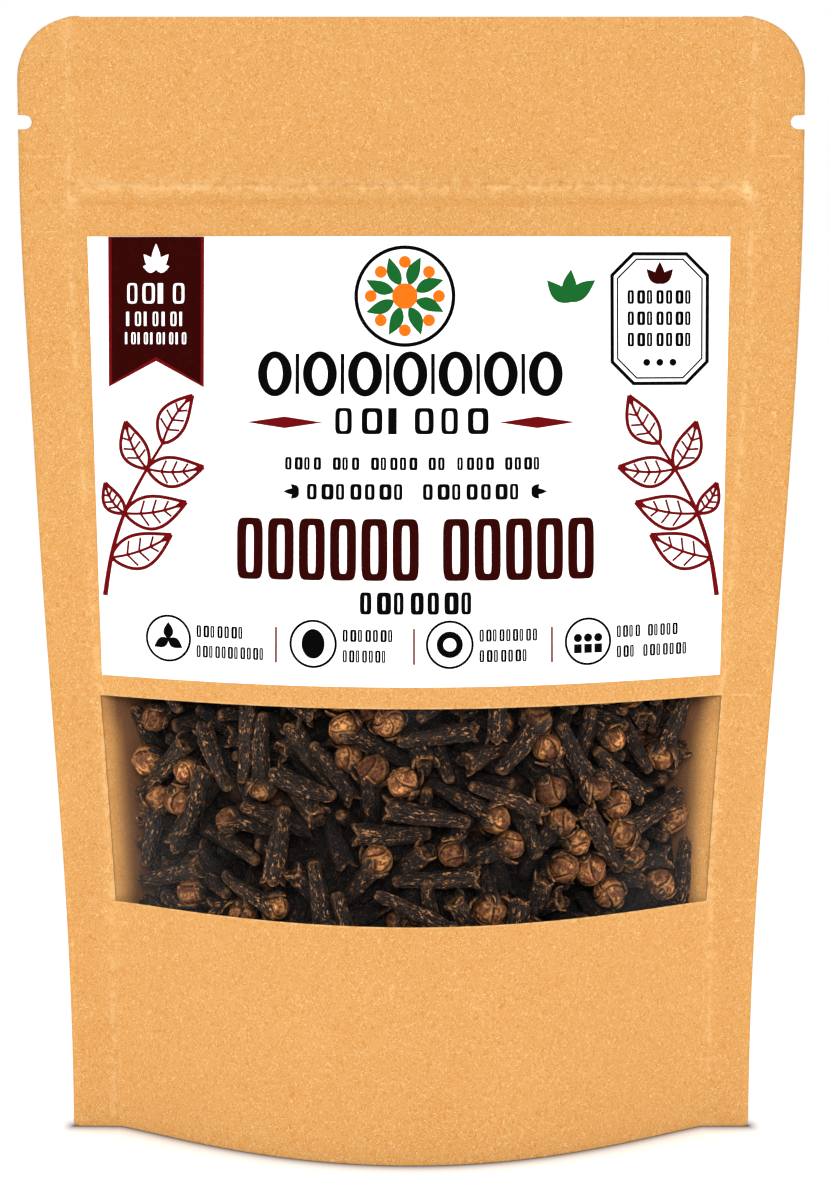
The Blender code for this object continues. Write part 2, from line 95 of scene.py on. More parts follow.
@dataclass
class Surface:
    """Points, faces and point values of one mesh in the making."""

    points: np.ndarray
    faces: list[np.ndarray]
    values: dict[str, np.ndarray]

    @classmethod
    def grid(cls, points: np.ndarray, values: dict[str, np.ndarray] | None = None,
             hole: np.ndarray | None = None) -> "Surface":
        """A sheet through a grid of points, facing the cross of its column and row directions.

        Args:
            points: rows by columns by 3.
            values: point values by name, each rows by columns.
            hole: cells to leave open, rows - 1 by columns - 1.

        Returns:
            The sheet.
        """
        rows, columns = points.shape[:2]
        index = np.arange(rows * columns).reshape(rows, columns)
        quads = np.stack(
            [index[:-1, :-1], index[:-1, 1:], index[1:, 1:], index[1:, :-1]], axis=-1
        )
        quads = quads[~hole] if hole is not None else quads.reshape(-1, 4)
        flat = {name: value.reshape(-1) for name, value in (values or {}).items()}
        used, packed = np.unique(quads, return_inverse=True)
        flat = {name: value[used] for name, value in flat.items()}
        return cls(points.reshape(-1, 3)[used], [packed.reshape(-1, 4)], flat)

    @classmethod
    def tubes(cls, rings: np.ndarray, values: dict[str, np.ndarray],
              start: np.ndarray | None = None, end: np.ndarray | None = None) -> "Surface":
        """Closed tubes, each a row of rings with a point at either end.

        Args:
            rings: tubes by rings by points around by 3, turning right-handed along the tube.
            values: values by name, each tubes by rings by points around, by 3 for a vector;
                the end points take the mean of the ring beside them.
            start: tubes by 3, the point that closes the first ring, or nothing for the
                ring's middle.
            end: the same for the last ring.

        Returns:
            All tubes as one surface.
        """
        count, length, around = rings.shape[:3]
        size = length * around + 2
        index = np.arange(length * around).reshape(length, around)
        turned = np.roll(index, -1, axis=1)
        quads = np.stack([index[:-1], turned[:-1], turned[1:], index[1:]], axis=-1).reshape(-1, 4)
        first, last = np.full(around, size - 2), np.full(around, size - 1)
        foot = np.stack([first, turned[0], index[0]], axis=-1)
        top = np.stack([last, index[-1], turned[-1]], axis=-1)
        offset = (np.arange(count) * size)[:, None, None]
        faces = [(part[None] + offset).reshape(-1, part.shape[1]) for part in (quads, foot, top)]
        flat = {
            name: cls.with_ends(value).reshape(count * size, *value.shape[3:])
            for name, value in values.items()
        }
        return cls(cls.with_ends(rings, start, end).reshape(-1, 3), faces, flat)

    @staticmethod
    def with_ends(rings: np.ndarray, start: np.ndarray | None = None,
                  end: np.ndarray | None = None) -> np.ndarray:
        """Ring values laid out flat for each tube, followed by its start and end values.

        One that isn't given is the mean of the ring beside it.
        """
        start = rings[:, 0].mean(axis=1) if start is None else start
        end = rings[:, -1].mean(axis=1) if end is None else end
        flat = rings.reshape(len(rings), -1, *rings.shape[3:])
        return np.concatenate([flat, start[:, None], end[:, None]], axis=1)

    @classmethod
    def joined(cls, parts: Sequence["Surface"]) -> "Surface":
        """Several surfaces, which carry the same values, as one."""
        offsets = np.cumsum([0] + [len(part.points) for part in parts[:-1]])
        faces = [face + offset for part, offset in zip(parts, offsets) for face in part.faces]
        values = {
            name: np.concatenate([part.values[name] for part in parts])
            for name in parts[0].values
        }
        return cls(np.concatenate([part.points for part in parts]), faces, values)

    def laid(self, name: str, finish: bpy.types.Material, smooth: bool = True) -> bpy.types.Object:
        """Makes the surface a mesh object at the origin, with its point values on it."""
        mesh = bpy.data.meshes.new(name)
        loops = np.concatenate([face.ravel() for face in self.faces]).astype(np.int32)
        sizes = np.concatenate([np.full(len(face), face.shape[1]) for face in self.faces])
        starts = (np.cumsum(sizes) - sizes).astype(np.int32)
        mesh.vertices.add(len(self.points))
        mesh.vertices.foreach_set("co", self.points.astype(np.float32).ravel())
        mesh.loops.add(len(loops))
        mesh.loops.foreach_set("vertex_index", loops)
        mesh.polygons.add(len(sizes))
        mesh.polygons.foreach_set("loop_start", starts)
        mesh.polygons.foreach_set("use_smooth", np.full(len(sizes), smooth))
        for label, value in self.values.items():
            vector = value.ndim == 2
            kept = mesh.attributes.new(label, "FLOAT_VECTOR" if vector else "FLOAT", "POINT")
            kept.data.foreach_set(
                "vector" if vector else "value", value.astype(np.float32).ravel()
            )
        mesh.update(calc_edges=True)
        mesh.validate()
        mesh.materials.append(finish)
        made = bpy.data.objects.new(name, mesh)
        bpy.context.scene.collection.objects.link(made)
        LOG.info("%s: %d points, %d faces", name, len(self.points), len(sizes))
        return made

    def piece(self, name: str, finish: bpy.types.Material, slot: str, wall: float = 0.0,
              smooth: bool = True) -> bpy.types.Object:
        """Makes the surface an object that rides on the pouch.

        Args:
            name: the piece's name.
            finish: its material.
            slot: the record's material slot; not used.
            wall: thickness that Solidify gives an open sheet, behind it, or 0.
            smooth: whether its faces are shaded smooth.

        Returns:
            The object.
        """
        made = self.laid(name, finish, smooth)
        if wall:
            sheet = made.modifiers.new("wall", "SOLIDIFY")
            sheet.thickness = wall
        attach(made, BODY)
        return made


class NodeSheet:
    """The nodes of one material, added one by one round its Principled shader."""

    def __init__(self, name: str) -> None:
        """Starts a material with a bare Principled shader."""
        self.material = bpy.data.materials.new(name)
        self.material.use_nodes = True
        self.tree = self.material.node_tree
        self.shader = self.tree.nodes["Principled BSDF"]

    def feed(self, socket: Socket, value: object) -> None:
        """Links a socket to another, or sets it to a plain value."""
        if isinstance(value, bpy.types.NodeSocket):
            self.tree.links.new(value, socket)
        else:
            socket.default_value = value

    def set(self, **inputs: object) -> None:
        """Feeds the shader's inputs, named in small letters with underscores."""
        for name, value in inputs.items():
            title = name.replace("_", " ").title().replace("Ior", "IOR")
            self.feed(self.shader.inputs[title], value)

    def place(self) -> Socket:
        """Object coordinates."""
        return self.tree.nodes.new("ShaderNodeTexCoord").outputs["Object"]

    def kept(self, name: str, vector: bool = False) -> Socket:
        """A value kept on the mesh's points."""
        node = self.tree.nodes.new("ShaderNodeAttribute")
        node.attribute_name = name
        return node.outputs["Vector" if vector else "Fac"]

    def stretched(self, vector: Socket, scale: tuple[float, float, float]) -> Socket:
        """Coordinates scaled on each axis."""
        node = self.tree.nodes.new("ShaderNodeMapping")
        self.feed(node.inputs["Vector"], vector)
        node.inputs["Scale"].default_value = scale
        return node.outputs[0]

    def noise(self, where: Socket, scale: float, detail: float = 2.0, distortion: float = 0.0,
              roughness: float = 0.5) -> Socket:
        """Noise from about 0.2 to 0.8, with its features about 1 / scale wide."""
        node = self.tree.nodes.new("ShaderNodeTexNoise")
        self.feed(node.inputs["Vector"], where)
        node.inputs["Scale"].default_value = scale
        node.inputs["Detail"].default_value = detail
        node.inputs["Distortion"].default_value = distortion
        node.inputs["Roughness"].default_value = roughness
        return node.outputs["Fac"]

    def sum(self, operation: str, first: object, second: object = 0.0,
            third: object = 0.0) -> Socket:
        """One Math node."""
        node = self.tree.nodes.new("ShaderNodeMath")
        node.operation = operation
        for socket, value in zip(node.inputs, (first, second, third)):
            self.feed(socket, value)
        return node.outputs[0]

    def band(self, value: Socket, low: float, high: float, at_low: float = 0.0,
             at_high: float = 1.0) -> Socket:
        """Goes smoothly from at_low to at_high as the value goes from low to high."""
        node = self.tree.nodes.new("ShaderNodeMapRange")
        node.interpolation_type = "SMOOTHSTEP"
        self.feed(node.inputs["Value"], value)
        for name, number in zip(
            ("From Min", "From Max", "To Min", "To Max"), (low, high, at_low, at_high)
        ):
            node.inputs[name].default_value = number
        return node.outputs["Result"]

    def line(self, value: Socket, width: float, soft: float = 0.5) -> Socket:
        """1 where the value is within width of zero, fading over soft times the width."""
        size = self.sum("ABSOLUTE", value)
        return self.band(size, width * (1 - soft), width * (1 + soft), 1.0, 0.0)

    def mix(self, share: object, first: object, second: object) -> Socket:
        """Colour first where the share is 0, second where it is 1."""
        node = self.tree.nodes.new("ShaderNodeMix")
        node.data_type = "RGBA"
        self.feed(node.inputs[0], share)
        self.feed(node.inputs[6], first)
        self.feed(node.inputs[7], second)
        return node.outputs[2]

    def bump(self, height: Socket, distance: float, strength: float) -> None:
        """Feeds the shader's normal from a height, in metres for each unit."""
        node = self.tree.nodes.new("ShaderNodeBump")
        node.inputs["Distance"].default_value = distance
        node.inputs["Strength"].default_value = strength
        self.feed(node.inputs["Height"], height)
        self.feed(self.shader.inputs["Normal"], node.outputs[0])


@dataclass(frozen=True)
class KraftFinish:
    """Uncoated golden-brown kraft paper: short fibres, soft mottling, worn creases, painted
    highlights along the zip and the fold line, and painted shade.
    """

    base: Colour = (0.397, 0.197, 0.055, 1)
    fibre_dark: Colour = (0.340, 0.135, 0.0195, 1)
    fibre_light: Colour = (0.455, 0.284, 0.123, 1)
    # Colour of creases and pressed lines, and also of the painted highlights along the zip and the
    # fold line.
    crease: Colour = (0.520, 0.335, 0.150, 1)
    shade: Colour = (0.310, 0.128, 0.026, 1)
    cloud_share: float = 0.16
    pale_levels: tuple[float, float] = (0.535, 0.545)
    pale_share: float = 0.85
    dark_levels: tuple[float, float] = (0.480, 0.460)
    dark_share: float = 0.80
    strand_width: float = 0.024
    strand_soft: float = 0.6
    crease_width: float = 0.50 * MM
    crease_share: float = 0.34
    press_width: float = 0.12 * MM
    press_share: float = 0.45
    relief: float = 0.03 * MM
    relief_share: float = 0.35
    roughness: float = 0.78
    specular: float = 0.15

    def strands(self, sheet: NodeSheet, noises: Sequence[Socket],
                levels: Sequence[float]) -> Socket:
        """Thin curling lines where either noise passes its level."""
        return sheet.sum("MAXIMUM", *(
            sheet.line(sheet.sum("SUBTRACT", noise, level), self.strand_width, self.strand_soft)
            for noise, level in zip(noises, levels)
        ))

    def material(self) -> bpy.types.Material:
        """Builds the paper's nodes.

        Returns:
            The material, which reads off_crease, off_press, worn (wear and painted highlights) and
            shaded (painted shade) from the mesh.
        """
        sheet = NodeSheet("kraft_paper")
        where = sheet.place()
        long_and_short = sheet.noise(where, 1350, 0.6, 1.0), sheet.noise(where, 2000, 0.6, 0.8)
        pale = self.strands(sheet, long_and_short, self.pale_levels)
        dark = self.strands(sheet, long_and_short, self.dark_levels)
        cloud = sheet.band(sheet.noise(where, 110, 4.0), 0.3, 0.7)
        colour = self.base
        for share, most, over in (
            (cloud, self.cloud_share, self.fibre_dark),
            (pale, self.pale_share, self.fibre_light),
            (dark, self.dark_share, self.fibre_dark),
        ):
            colour = sheet.mix(sheet.sum("MULTIPLY", share, most), colour, over)
        fleck = sheet.band(sheet.noise(where, 700, 3.0), 0.42, 0.60, 0.12, 1.0)
        # The crease line is partly crease wear and partly a painted highlight; worn also holds the
        # zip's painted highlight.
        crease = sheet.line(sheet.kept("off_crease"), self.crease_width, 0.95)
        press = sheet.line(sheet.kept("off_press"), self.press_width, 0.9)
        folds = sheet.sum(
            "MAXIMUM",
            sheet.sum("MULTIPLY", crease, self.crease_share),
            sheet.sum("MULTIPLY", press, self.press_share),
        )
        folds = sheet.sum("MAXIMUM", folds, sheet.kept("worn"))
        colour = sheet.mix(sheet.sum("MULTIPLY", folds, fleck), colour, self.crease)
        colour = sheet.mix(sheet.kept("shaded"), colour, self.shade)
        sheet.set(
            base_color=colour, roughness=self.roughness, specular_ior_level=self.specular
        )
        height = sheet.sum("SUBTRACT", sheet.sum("ADD", pale, sheet.noise(where, 2600, 2.0)), dark)
        sheet.bump(height, self.relief, self.relief_share)
        return sheet.material


LINING_LIT_AND_SHADED = KraftFinish(
    base=(0.485, 0.238, 0.066, 1), fibre_dark=(0.415, 0.168, 0.030, 1),
    fibre_light=(0.54, 0.320, 0.125, 1), shade=(0.100, 0.042, 0.018, 1),
)
# The back panel's inside: a paler copy of the kraft as painted light near the crease, mixed into
# deep painted shade.
"""The back panel's inside, which is paler than the outside and falls into deep shade."""


@dataclass(frozen=True)
class LabelPaperFinish:
    """Smooth white printed paper with a faint tooth."""

    base: Colour = (0.93, 0.93, 0.925, 1)
    shade: Colour = (0.89, 0.89, 0.885, 1)
    roughness: float = 0.48
    specular: float = 0.35
    tooth: float = 0.01 * MM

    def material(self) -> bpy.types.Material:
        """Builds the paper's nodes."""
        sheet = NodeSheet("label_paper")
        where = sheet.place()
        cloud = sheet.band(sheet.noise(where, 300, 3.0), 0.35, 0.65)
        sheet.set(
            base_color=sheet.mix(cloud, self.shade, self.base), roughness=self.roughness,
            specular_ior_level=self.specular,
        )
        sheet.bump(sheet.noise(where, 4000, 2.0), self.tooth, 0.25)
        return sheet.material


class Ink(Enum):
    """The label's inks, each a colour in linear light."""

    MAROON = (0.0185, 0.0013, 0.0010, 1)
    RED = (0.090, 0.0024, 0.0034, 1)
    BLACK = (0.0016, 0.0014, 0.0016, 1)
    GREEN = (0.0060, 0.075, 0.014, 1)
    ORANGE = (0.600, 0.100, 0.005, 1)
    WHITE = (0.90, 0.90, 0.90, 1)

    def material(self) -> bpy.types.Material:
        """Builds the ink's nodes: its colour, a shade lighter where it lies thin."""
        sheet = NodeSheet(f"ink_{self.name.lower()}")
        where = sheet.place()
        thin = sheet.band(sheet.noise(where, 1800, 3.0), 0.55, 0.75, 0.0, 0.5)
        lighter = tuple(min(part * 1.25 + 0.002, 1) for part in self.value[:3]) + (1,)
        sheet.set(
            base_color=sheet.mix(thin, self.value, lighter), roughness=0.55,
            specular_ior_level=0.0,
        )
        sheet.bump(sheet.noise(where, 5000, 2.0), 0.01 * MM, 0.2)
        return sheet.material


@dataclass(frozen=True)
class FilmFinish:
    """Clear film with a faint, uneven haze: its opacity goes from clear to hazy."""

    tint: Colour = (0.030, 0.028, 0.026, 1)
    clear: float = 0.003
    hazy: float = 0.014
    roughness: float = 0.16
    specular: float = 0.4
    waviness: float = 0.2 * MM

    def material(self) -> bpy.types.Material:
        """Builds the film's nodes: a dark satin skin that is nearly all see-through."""
        sheet = NodeSheet("clear_film")
        where = sheet.place()
        haze = sheet.band(sheet.noise(where, 45, 3.0), 0.40, 0.66, self.clear, self.hazy)
        sheet.set(
            base_color=self.tint, alpha=haze, roughness=self.roughness,
            specular_ior_level=self.specular,
        )
        sheet.bump(sheet.noise(where, 60, 2.0), self.waviness, 0.3)
        return sheet.material


@dataclass(frozen=True)
class StemFinish:
    """Dried clove stems and lobes: near-black brown skin with tan rims, painted tan glints on the
    crests, and painted shade with depth.
    """

    dark: Colour = (0.0082, 0.0072, 0.0070, 1)
    brown: Colour = (0.061, 0.0315, 0.0185, 1)
    # Tan of the tip and head rims, and of the painted glints on the crests.
    tan_and_glint: Colour = (0.49, 0.218, 0.078, 1)
    # Colour of the painted shade, which is mixed in with depth behind the film.
    deep: Colour = (0.0044, 0.0040, 0.0038, 1)
    brown_band: tuple[float, float] = (0.40, 0.62)
    glint_band: tuple[float, float] = (0.572, 0.640)
    ridge_share: float = 0.06
    relief: float = 0.70 * MM
    roughness: float = 0.50
    specular: float = 0.07

    def material(self) -> bpy.types.Material:
        """Builds the skin's nodes.

        The crest, which is the fine wrinkles plus a share of the mesh's own ridges, is
        brown within one band and carries painted tan glints within a higher one.

        Returns:
            The material, which reads grain, tint, shade, rim and ridge from the mesh.
        """
        sheet = NodeSheet("clove_skin")
        grain = sheet.kept("grain", vector=True)
        along = sheet.stretched(grain, (1.0, 1.0, 0.42))
        wrinkle = sheet.noise(along, 3500, 2.0, 0.8, 0.55)
        crest = sheet.sum("MULTIPLY_ADD", sheet.kept("ridge"), self.ridge_share, wrinkle)
        patch = sheet.band(sheet.noise(grain, 420, 3.0), 0.36, 0.66)
        share = sheet.sum("MULTIPLY", sheet.kept("tint"), patch)
        warm = sheet.sum("MULTIPLY", sheet.band(crest, *self.brown_band),
                         sheet.sum("MULTIPLY_ADD", share, 0.75, 0.25))
        colour = sheet.mix(warm, self.dark, self.brown)
        # Painted glints: tan on the highest crests, in islands.
        islands = sheet.band(sheet.noise(grain, 900, 2.0), 0.44, 0.58, 0.06, 1.0)
        glint = sheet.sum("MULTIPLY", sheet.band(crest, *self.glint_band), islands)
        rim = sheet.sum("MULTIPLY", sheet.kept("rim"),
                        sheet.band(sheet.noise(grain, 1500, 2.0), 0.38, 0.58, 0.1, 0.9))
        tan_and_glint = sheet.sum("MAXIMUM", glint, rim)
        colour = sheet.mix(tan_and_glint, colour, self.tan_and_glint)
        # The shade value mixes in painted shade for depth.
        sheet.set(
            base_color=sheet.mix(sheet.kept("shade"), colour, self.deep),
            roughness=self.roughness, specular_ior_level=self.specular,
        )
        sheet.bump(crest, self.relief, 1.0)
        return sheet.material


@dataclass(frozen=True)
class BudFinish:
    """Copper-brown buds: thin papery petals folded over each other, dark in their seams, with
    painted golden highlights and painted shade underneath.
    """

    deep: Colour = (0.037, 0.0122, 0.0056, 1)
    copper: Colour = (0.150, 0.054, 0.0210, 1)
    # Colour of the painted golden highlights.
    highlight_gold: Colour = (0.64, 0.285, 0.090, 1)
    red: Colour = (0.26, 0.040, 0.028, 1)
    # Dark colour of the petals' seams, also used for the painted shade.
    seam: Colour = (0.0045, 0.0025, 0.002, 1)
    copper_band: tuple[float, float] = (0.33, 0.62)
    highlight_band: tuple[float, float] = (0.43, 0.62)
    relief: float = 0.33 * MM
    roughness: float = 0.45
    specular: float = 0.06

    def material(self) -> bpy.types.Material:
        """Builds the petals' nodes.

        The crumple is copper within one band, painted gold highlight in patches within another
        and along the folds, and flecked with red in a few fields; shade adds painted shade.

        Returns:
            The material, which reads the values grain, tint, fold, shade and seam.
        """
        sheet = NodeSheet("clove_bud")
        grain = sheet.kept("grain", vector=True)
        crumple = sheet.noise(grain, 1700, 4.0, 0.4, 0.60)
        colour = sheet.mix(sheet.band(crumple, *self.copper_band), self.deep, self.copper)
        # Painted gold highlights in patches and along the petals' lips.
        patch = sheet.band(sheet.noise(grain, 480, 3.0, 0.4), 0.42, 0.60)
        painted_highlight = sheet.sum("MULTIPLY", patch, sheet.band(crumple, *self.highlight_band, 0.10, 1.0))
        painted_highlight = sheet.sum("MAXIMUM", painted_highlight, sheet.kept("fold"))
        colour = sheet.mix(sheet.sum("MULTIPLY", painted_highlight, sheet.kept("tint")), colour, self.highlight_gold)
        speck = sheet.band(sheet.noise(grain, 3800, 1.0), 0.58, 0.66, 0.0, 0.75)
        field = sheet.band(sheet.noise(grain, 520, 1.0), 0.50, 0.60)
        colour = sheet.mix(sheet.sum("MULTIPLY", speck, field), colour, self.red)
        # Painted shade under the bud and with depth, then the petals' real dark seams.
        for dark in ("shade", "seam"):
            colour = sheet.mix(sheet.kept(dark), colour, self.seam)
        sheet.set(
            base_color=colour, roughness=self.roughness, specular_ior_level=self.specular
        )
        sheet.bump(crumple, self.relief, 1.0)
        return sheet.material


@dataclass(frozen=True)
class PouchForm:
    """The filled pouch's outside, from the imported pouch's box and its named sizes."""

    half_width: float
    height: float
    base_bulge: float
    side_seal: float = 7.5 * MM
    bulge_top: float = 163 * MM
    roundness: float = 1.15
    pull_in: float = 2 / 3
    corner_radius: float = 10 * MM
    foot_radius: float = 0.8 * MM
    notch_height: float = 168.8 * MM
    notch_depth: float = 2.3 * MM
    notch_radius: float = 1.15 * MM
    notch_flare: float = 0.05 * MM
    seal_half: float = 0.29 * MM
    wall: float = 0.25 * MM
    zip_low: float = 155.5 * MM
    zip_high: float = 158.5 * MM
    presses: tuple[float, ...] = (38.8 * MM, 73.6 * MM, 150.8 * MM, 163.25 * MM)
    zip_raise: float = 0.20 * MM
    rail_raise: float = 0.13 * MM
    rail_inset: float = 0.35 * MM
    rail_width: float = 0.30 * MM
    zip_edge: float = 0.45 * MM
    crease_raise: float = 0.10 * MM
    press_sink: float = 0.07 * MM
    ripple: float = 0.045 * MM
    edge_ripple: float = 0.06 * MM

    @classmethod
    def from_frame(cls) -> "PouchForm":
        """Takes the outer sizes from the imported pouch."""
        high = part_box("pouch")[1]
        return cls(high.x, high.z, high.y)

    @property
    def flat_half(self) -> float:
        """Half width between the side seals where the pouch is flat."""
        return self.half_width - self.side_seal

    def bulge(self, z: np.ndarray) -> np.ndarray:
        """Bow of each panel: the base's bow times the cosine of a quarter turn up to its top."""
        return self.base_bulge * np.cos(np.pi / 2 * np.clip(z / self.bulge_top, 0, 1))

    def crease(self, z: np.ndarray) -> np.ndarray:
        """Half width between the seals: the flat one less pull_in times bow^2 over it."""
        return self.flat_half - self.pull_in * self.bulge(z) ** 2 / self.flat_half

    def depth(self, x: np.ndarray, z: np.ndarray) -> np.ndarray:
        """A panel's distance from the seal plane: bow times (1 - (x / crease)^2)^roundness."""
        return self.bulge(z) * np.clip(1 - (x / self.crease(z)) ** 2, 0, 1) ** self.roundness

    def inset_half(self, z: np.ndarray, inset: float) -> np.ndarray:
        """Half width in which the panels are still deeper than the inset."""
        share = np.clip(inset / np.maximum(self.bulge(z), TINY), 0, 1)
        return self.crease(z) * np.sqrt(1 - share ** (1 / self.roundness))

    def edge(self, z: np.ndarray) -> np.ndarray:
        """Half width of the sheet: crease plus seal, less the arcs of corners and notches."""
        side = self.crease(z) + self.side_seal
        over = np.clip(z - (self.height - self.corner_radius), 0, self.corner_radius)
        under = np.clip(self.foot_radius - z, 0, self.foot_radius)
        side = side - self.corner_radius + np.sqrt(self.corner_radius**2 - over**2)
        side = side - self.foot_radius + np.sqrt(self.foot_radius**2 - under**2)
        off = np.abs(z - self.notch_height)
        root = self.half_width - self.notch_depth + self.notch_radius
        bite = root - np.sqrt(np.clip(self.notch_radius**2 - off**2, 0, None))
        flare = root + (side - root) * (off - self.notch_radius) / self.notch_flare
        notch = np.where(off < self.notch_radius, bite, flare)
        return np.where(off < self.notch_radius + self.notch_flare, notch, side)

    def fold_line(self, z: np.ndarray) -> np.ndarray:
        """Where the light crease line runs, partly crease wear and partly a painted highlight
        beside the fold: inside the seal high up, on it towards the base.
        """
        return self.crease(z) - 1.0 * MM + 1.7 * MM * (1 - smooth_step(z, 0, 80 * MM))

    def relief(self, x: np.ndarray, z: np.ndarray) -> np.ndarray:
        """Height of the sheet's low relief: zip band and its two rails, pressed seals, ripples.

        The band is a plateau with soft edges, each rail and press line a bell, and the
        ripples a few crossing sine waves that die out in the flat top.
        """
        inner = 1 - smooth_step(np.abs(x), self.flat_half - 1.2 * MM, self.flat_half)
        wave = 0.07 * MM * np.sin(x / (11 * MM) + 0.6 * np.sin(x / (5 * MM)))
        low, high = self.zip_low + wave, self.zip_high + wave
        band = smooth_step(z, low - self.zip_edge, low)
        band = band * (1 - smooth_step(z, high, high + self.zip_edge))
        rails = ridge(z - low - self.rail_inset, self.rail_width)
        rails = rails + ridge(z - high + self.rail_inset, self.rail_width)
        raised = inner * (self.zip_raise * band + self.rail_raise * rails)
        off = np.abs(x) - self.fold_line(z)
        raised = raised + self.crease_raise * ridge(off, 0.45 * MM)
        seal = smooth_step(off, 0.3 * MM, 1.2 * MM)
        for press in self.presses:
            raised = raised - self.press_sink * seal * ridge(z - press, 0.25 * MM)
        body = smooth_step(self.bulge_top - z, 0, 20 * MM)
        ripple = np.sin(x / (9 * MM) + 1.3 * np.sin(z / (17 * MM)))
        ripple = ripple + np.sin(z / (12 * MM) - 0.8 * np.sin(x / (21 * MM)) + 1)
        edge_wave = self.edge_ripple * seal * np.sin(z / (6.5 * MM) + np.sign(x))
        return raised + self.ripple * body * ripple + edge_wave

    def front(self, x: np.ndarray, z: np.ndarray) -> np.ndarray:
        """Distance of the front sheet's outside from the seal plane, relief and all."""
        return np.hypot(self.depth(x, z), self.seal_half) + self.relief(x, z)


@dataclass(frozen=True)
class Window:
    """The opening in the front panel."""

    low: float = 38.7 * MM
    high: float = 73.6 * MM
    side_margin: float = 0.9 * MM

    def half(self, form: PouchForm, z: np.ndarray) -> np.ndarray:
        """Half width of the opening at height z."""
        return form.crease(z) - self.side_margin


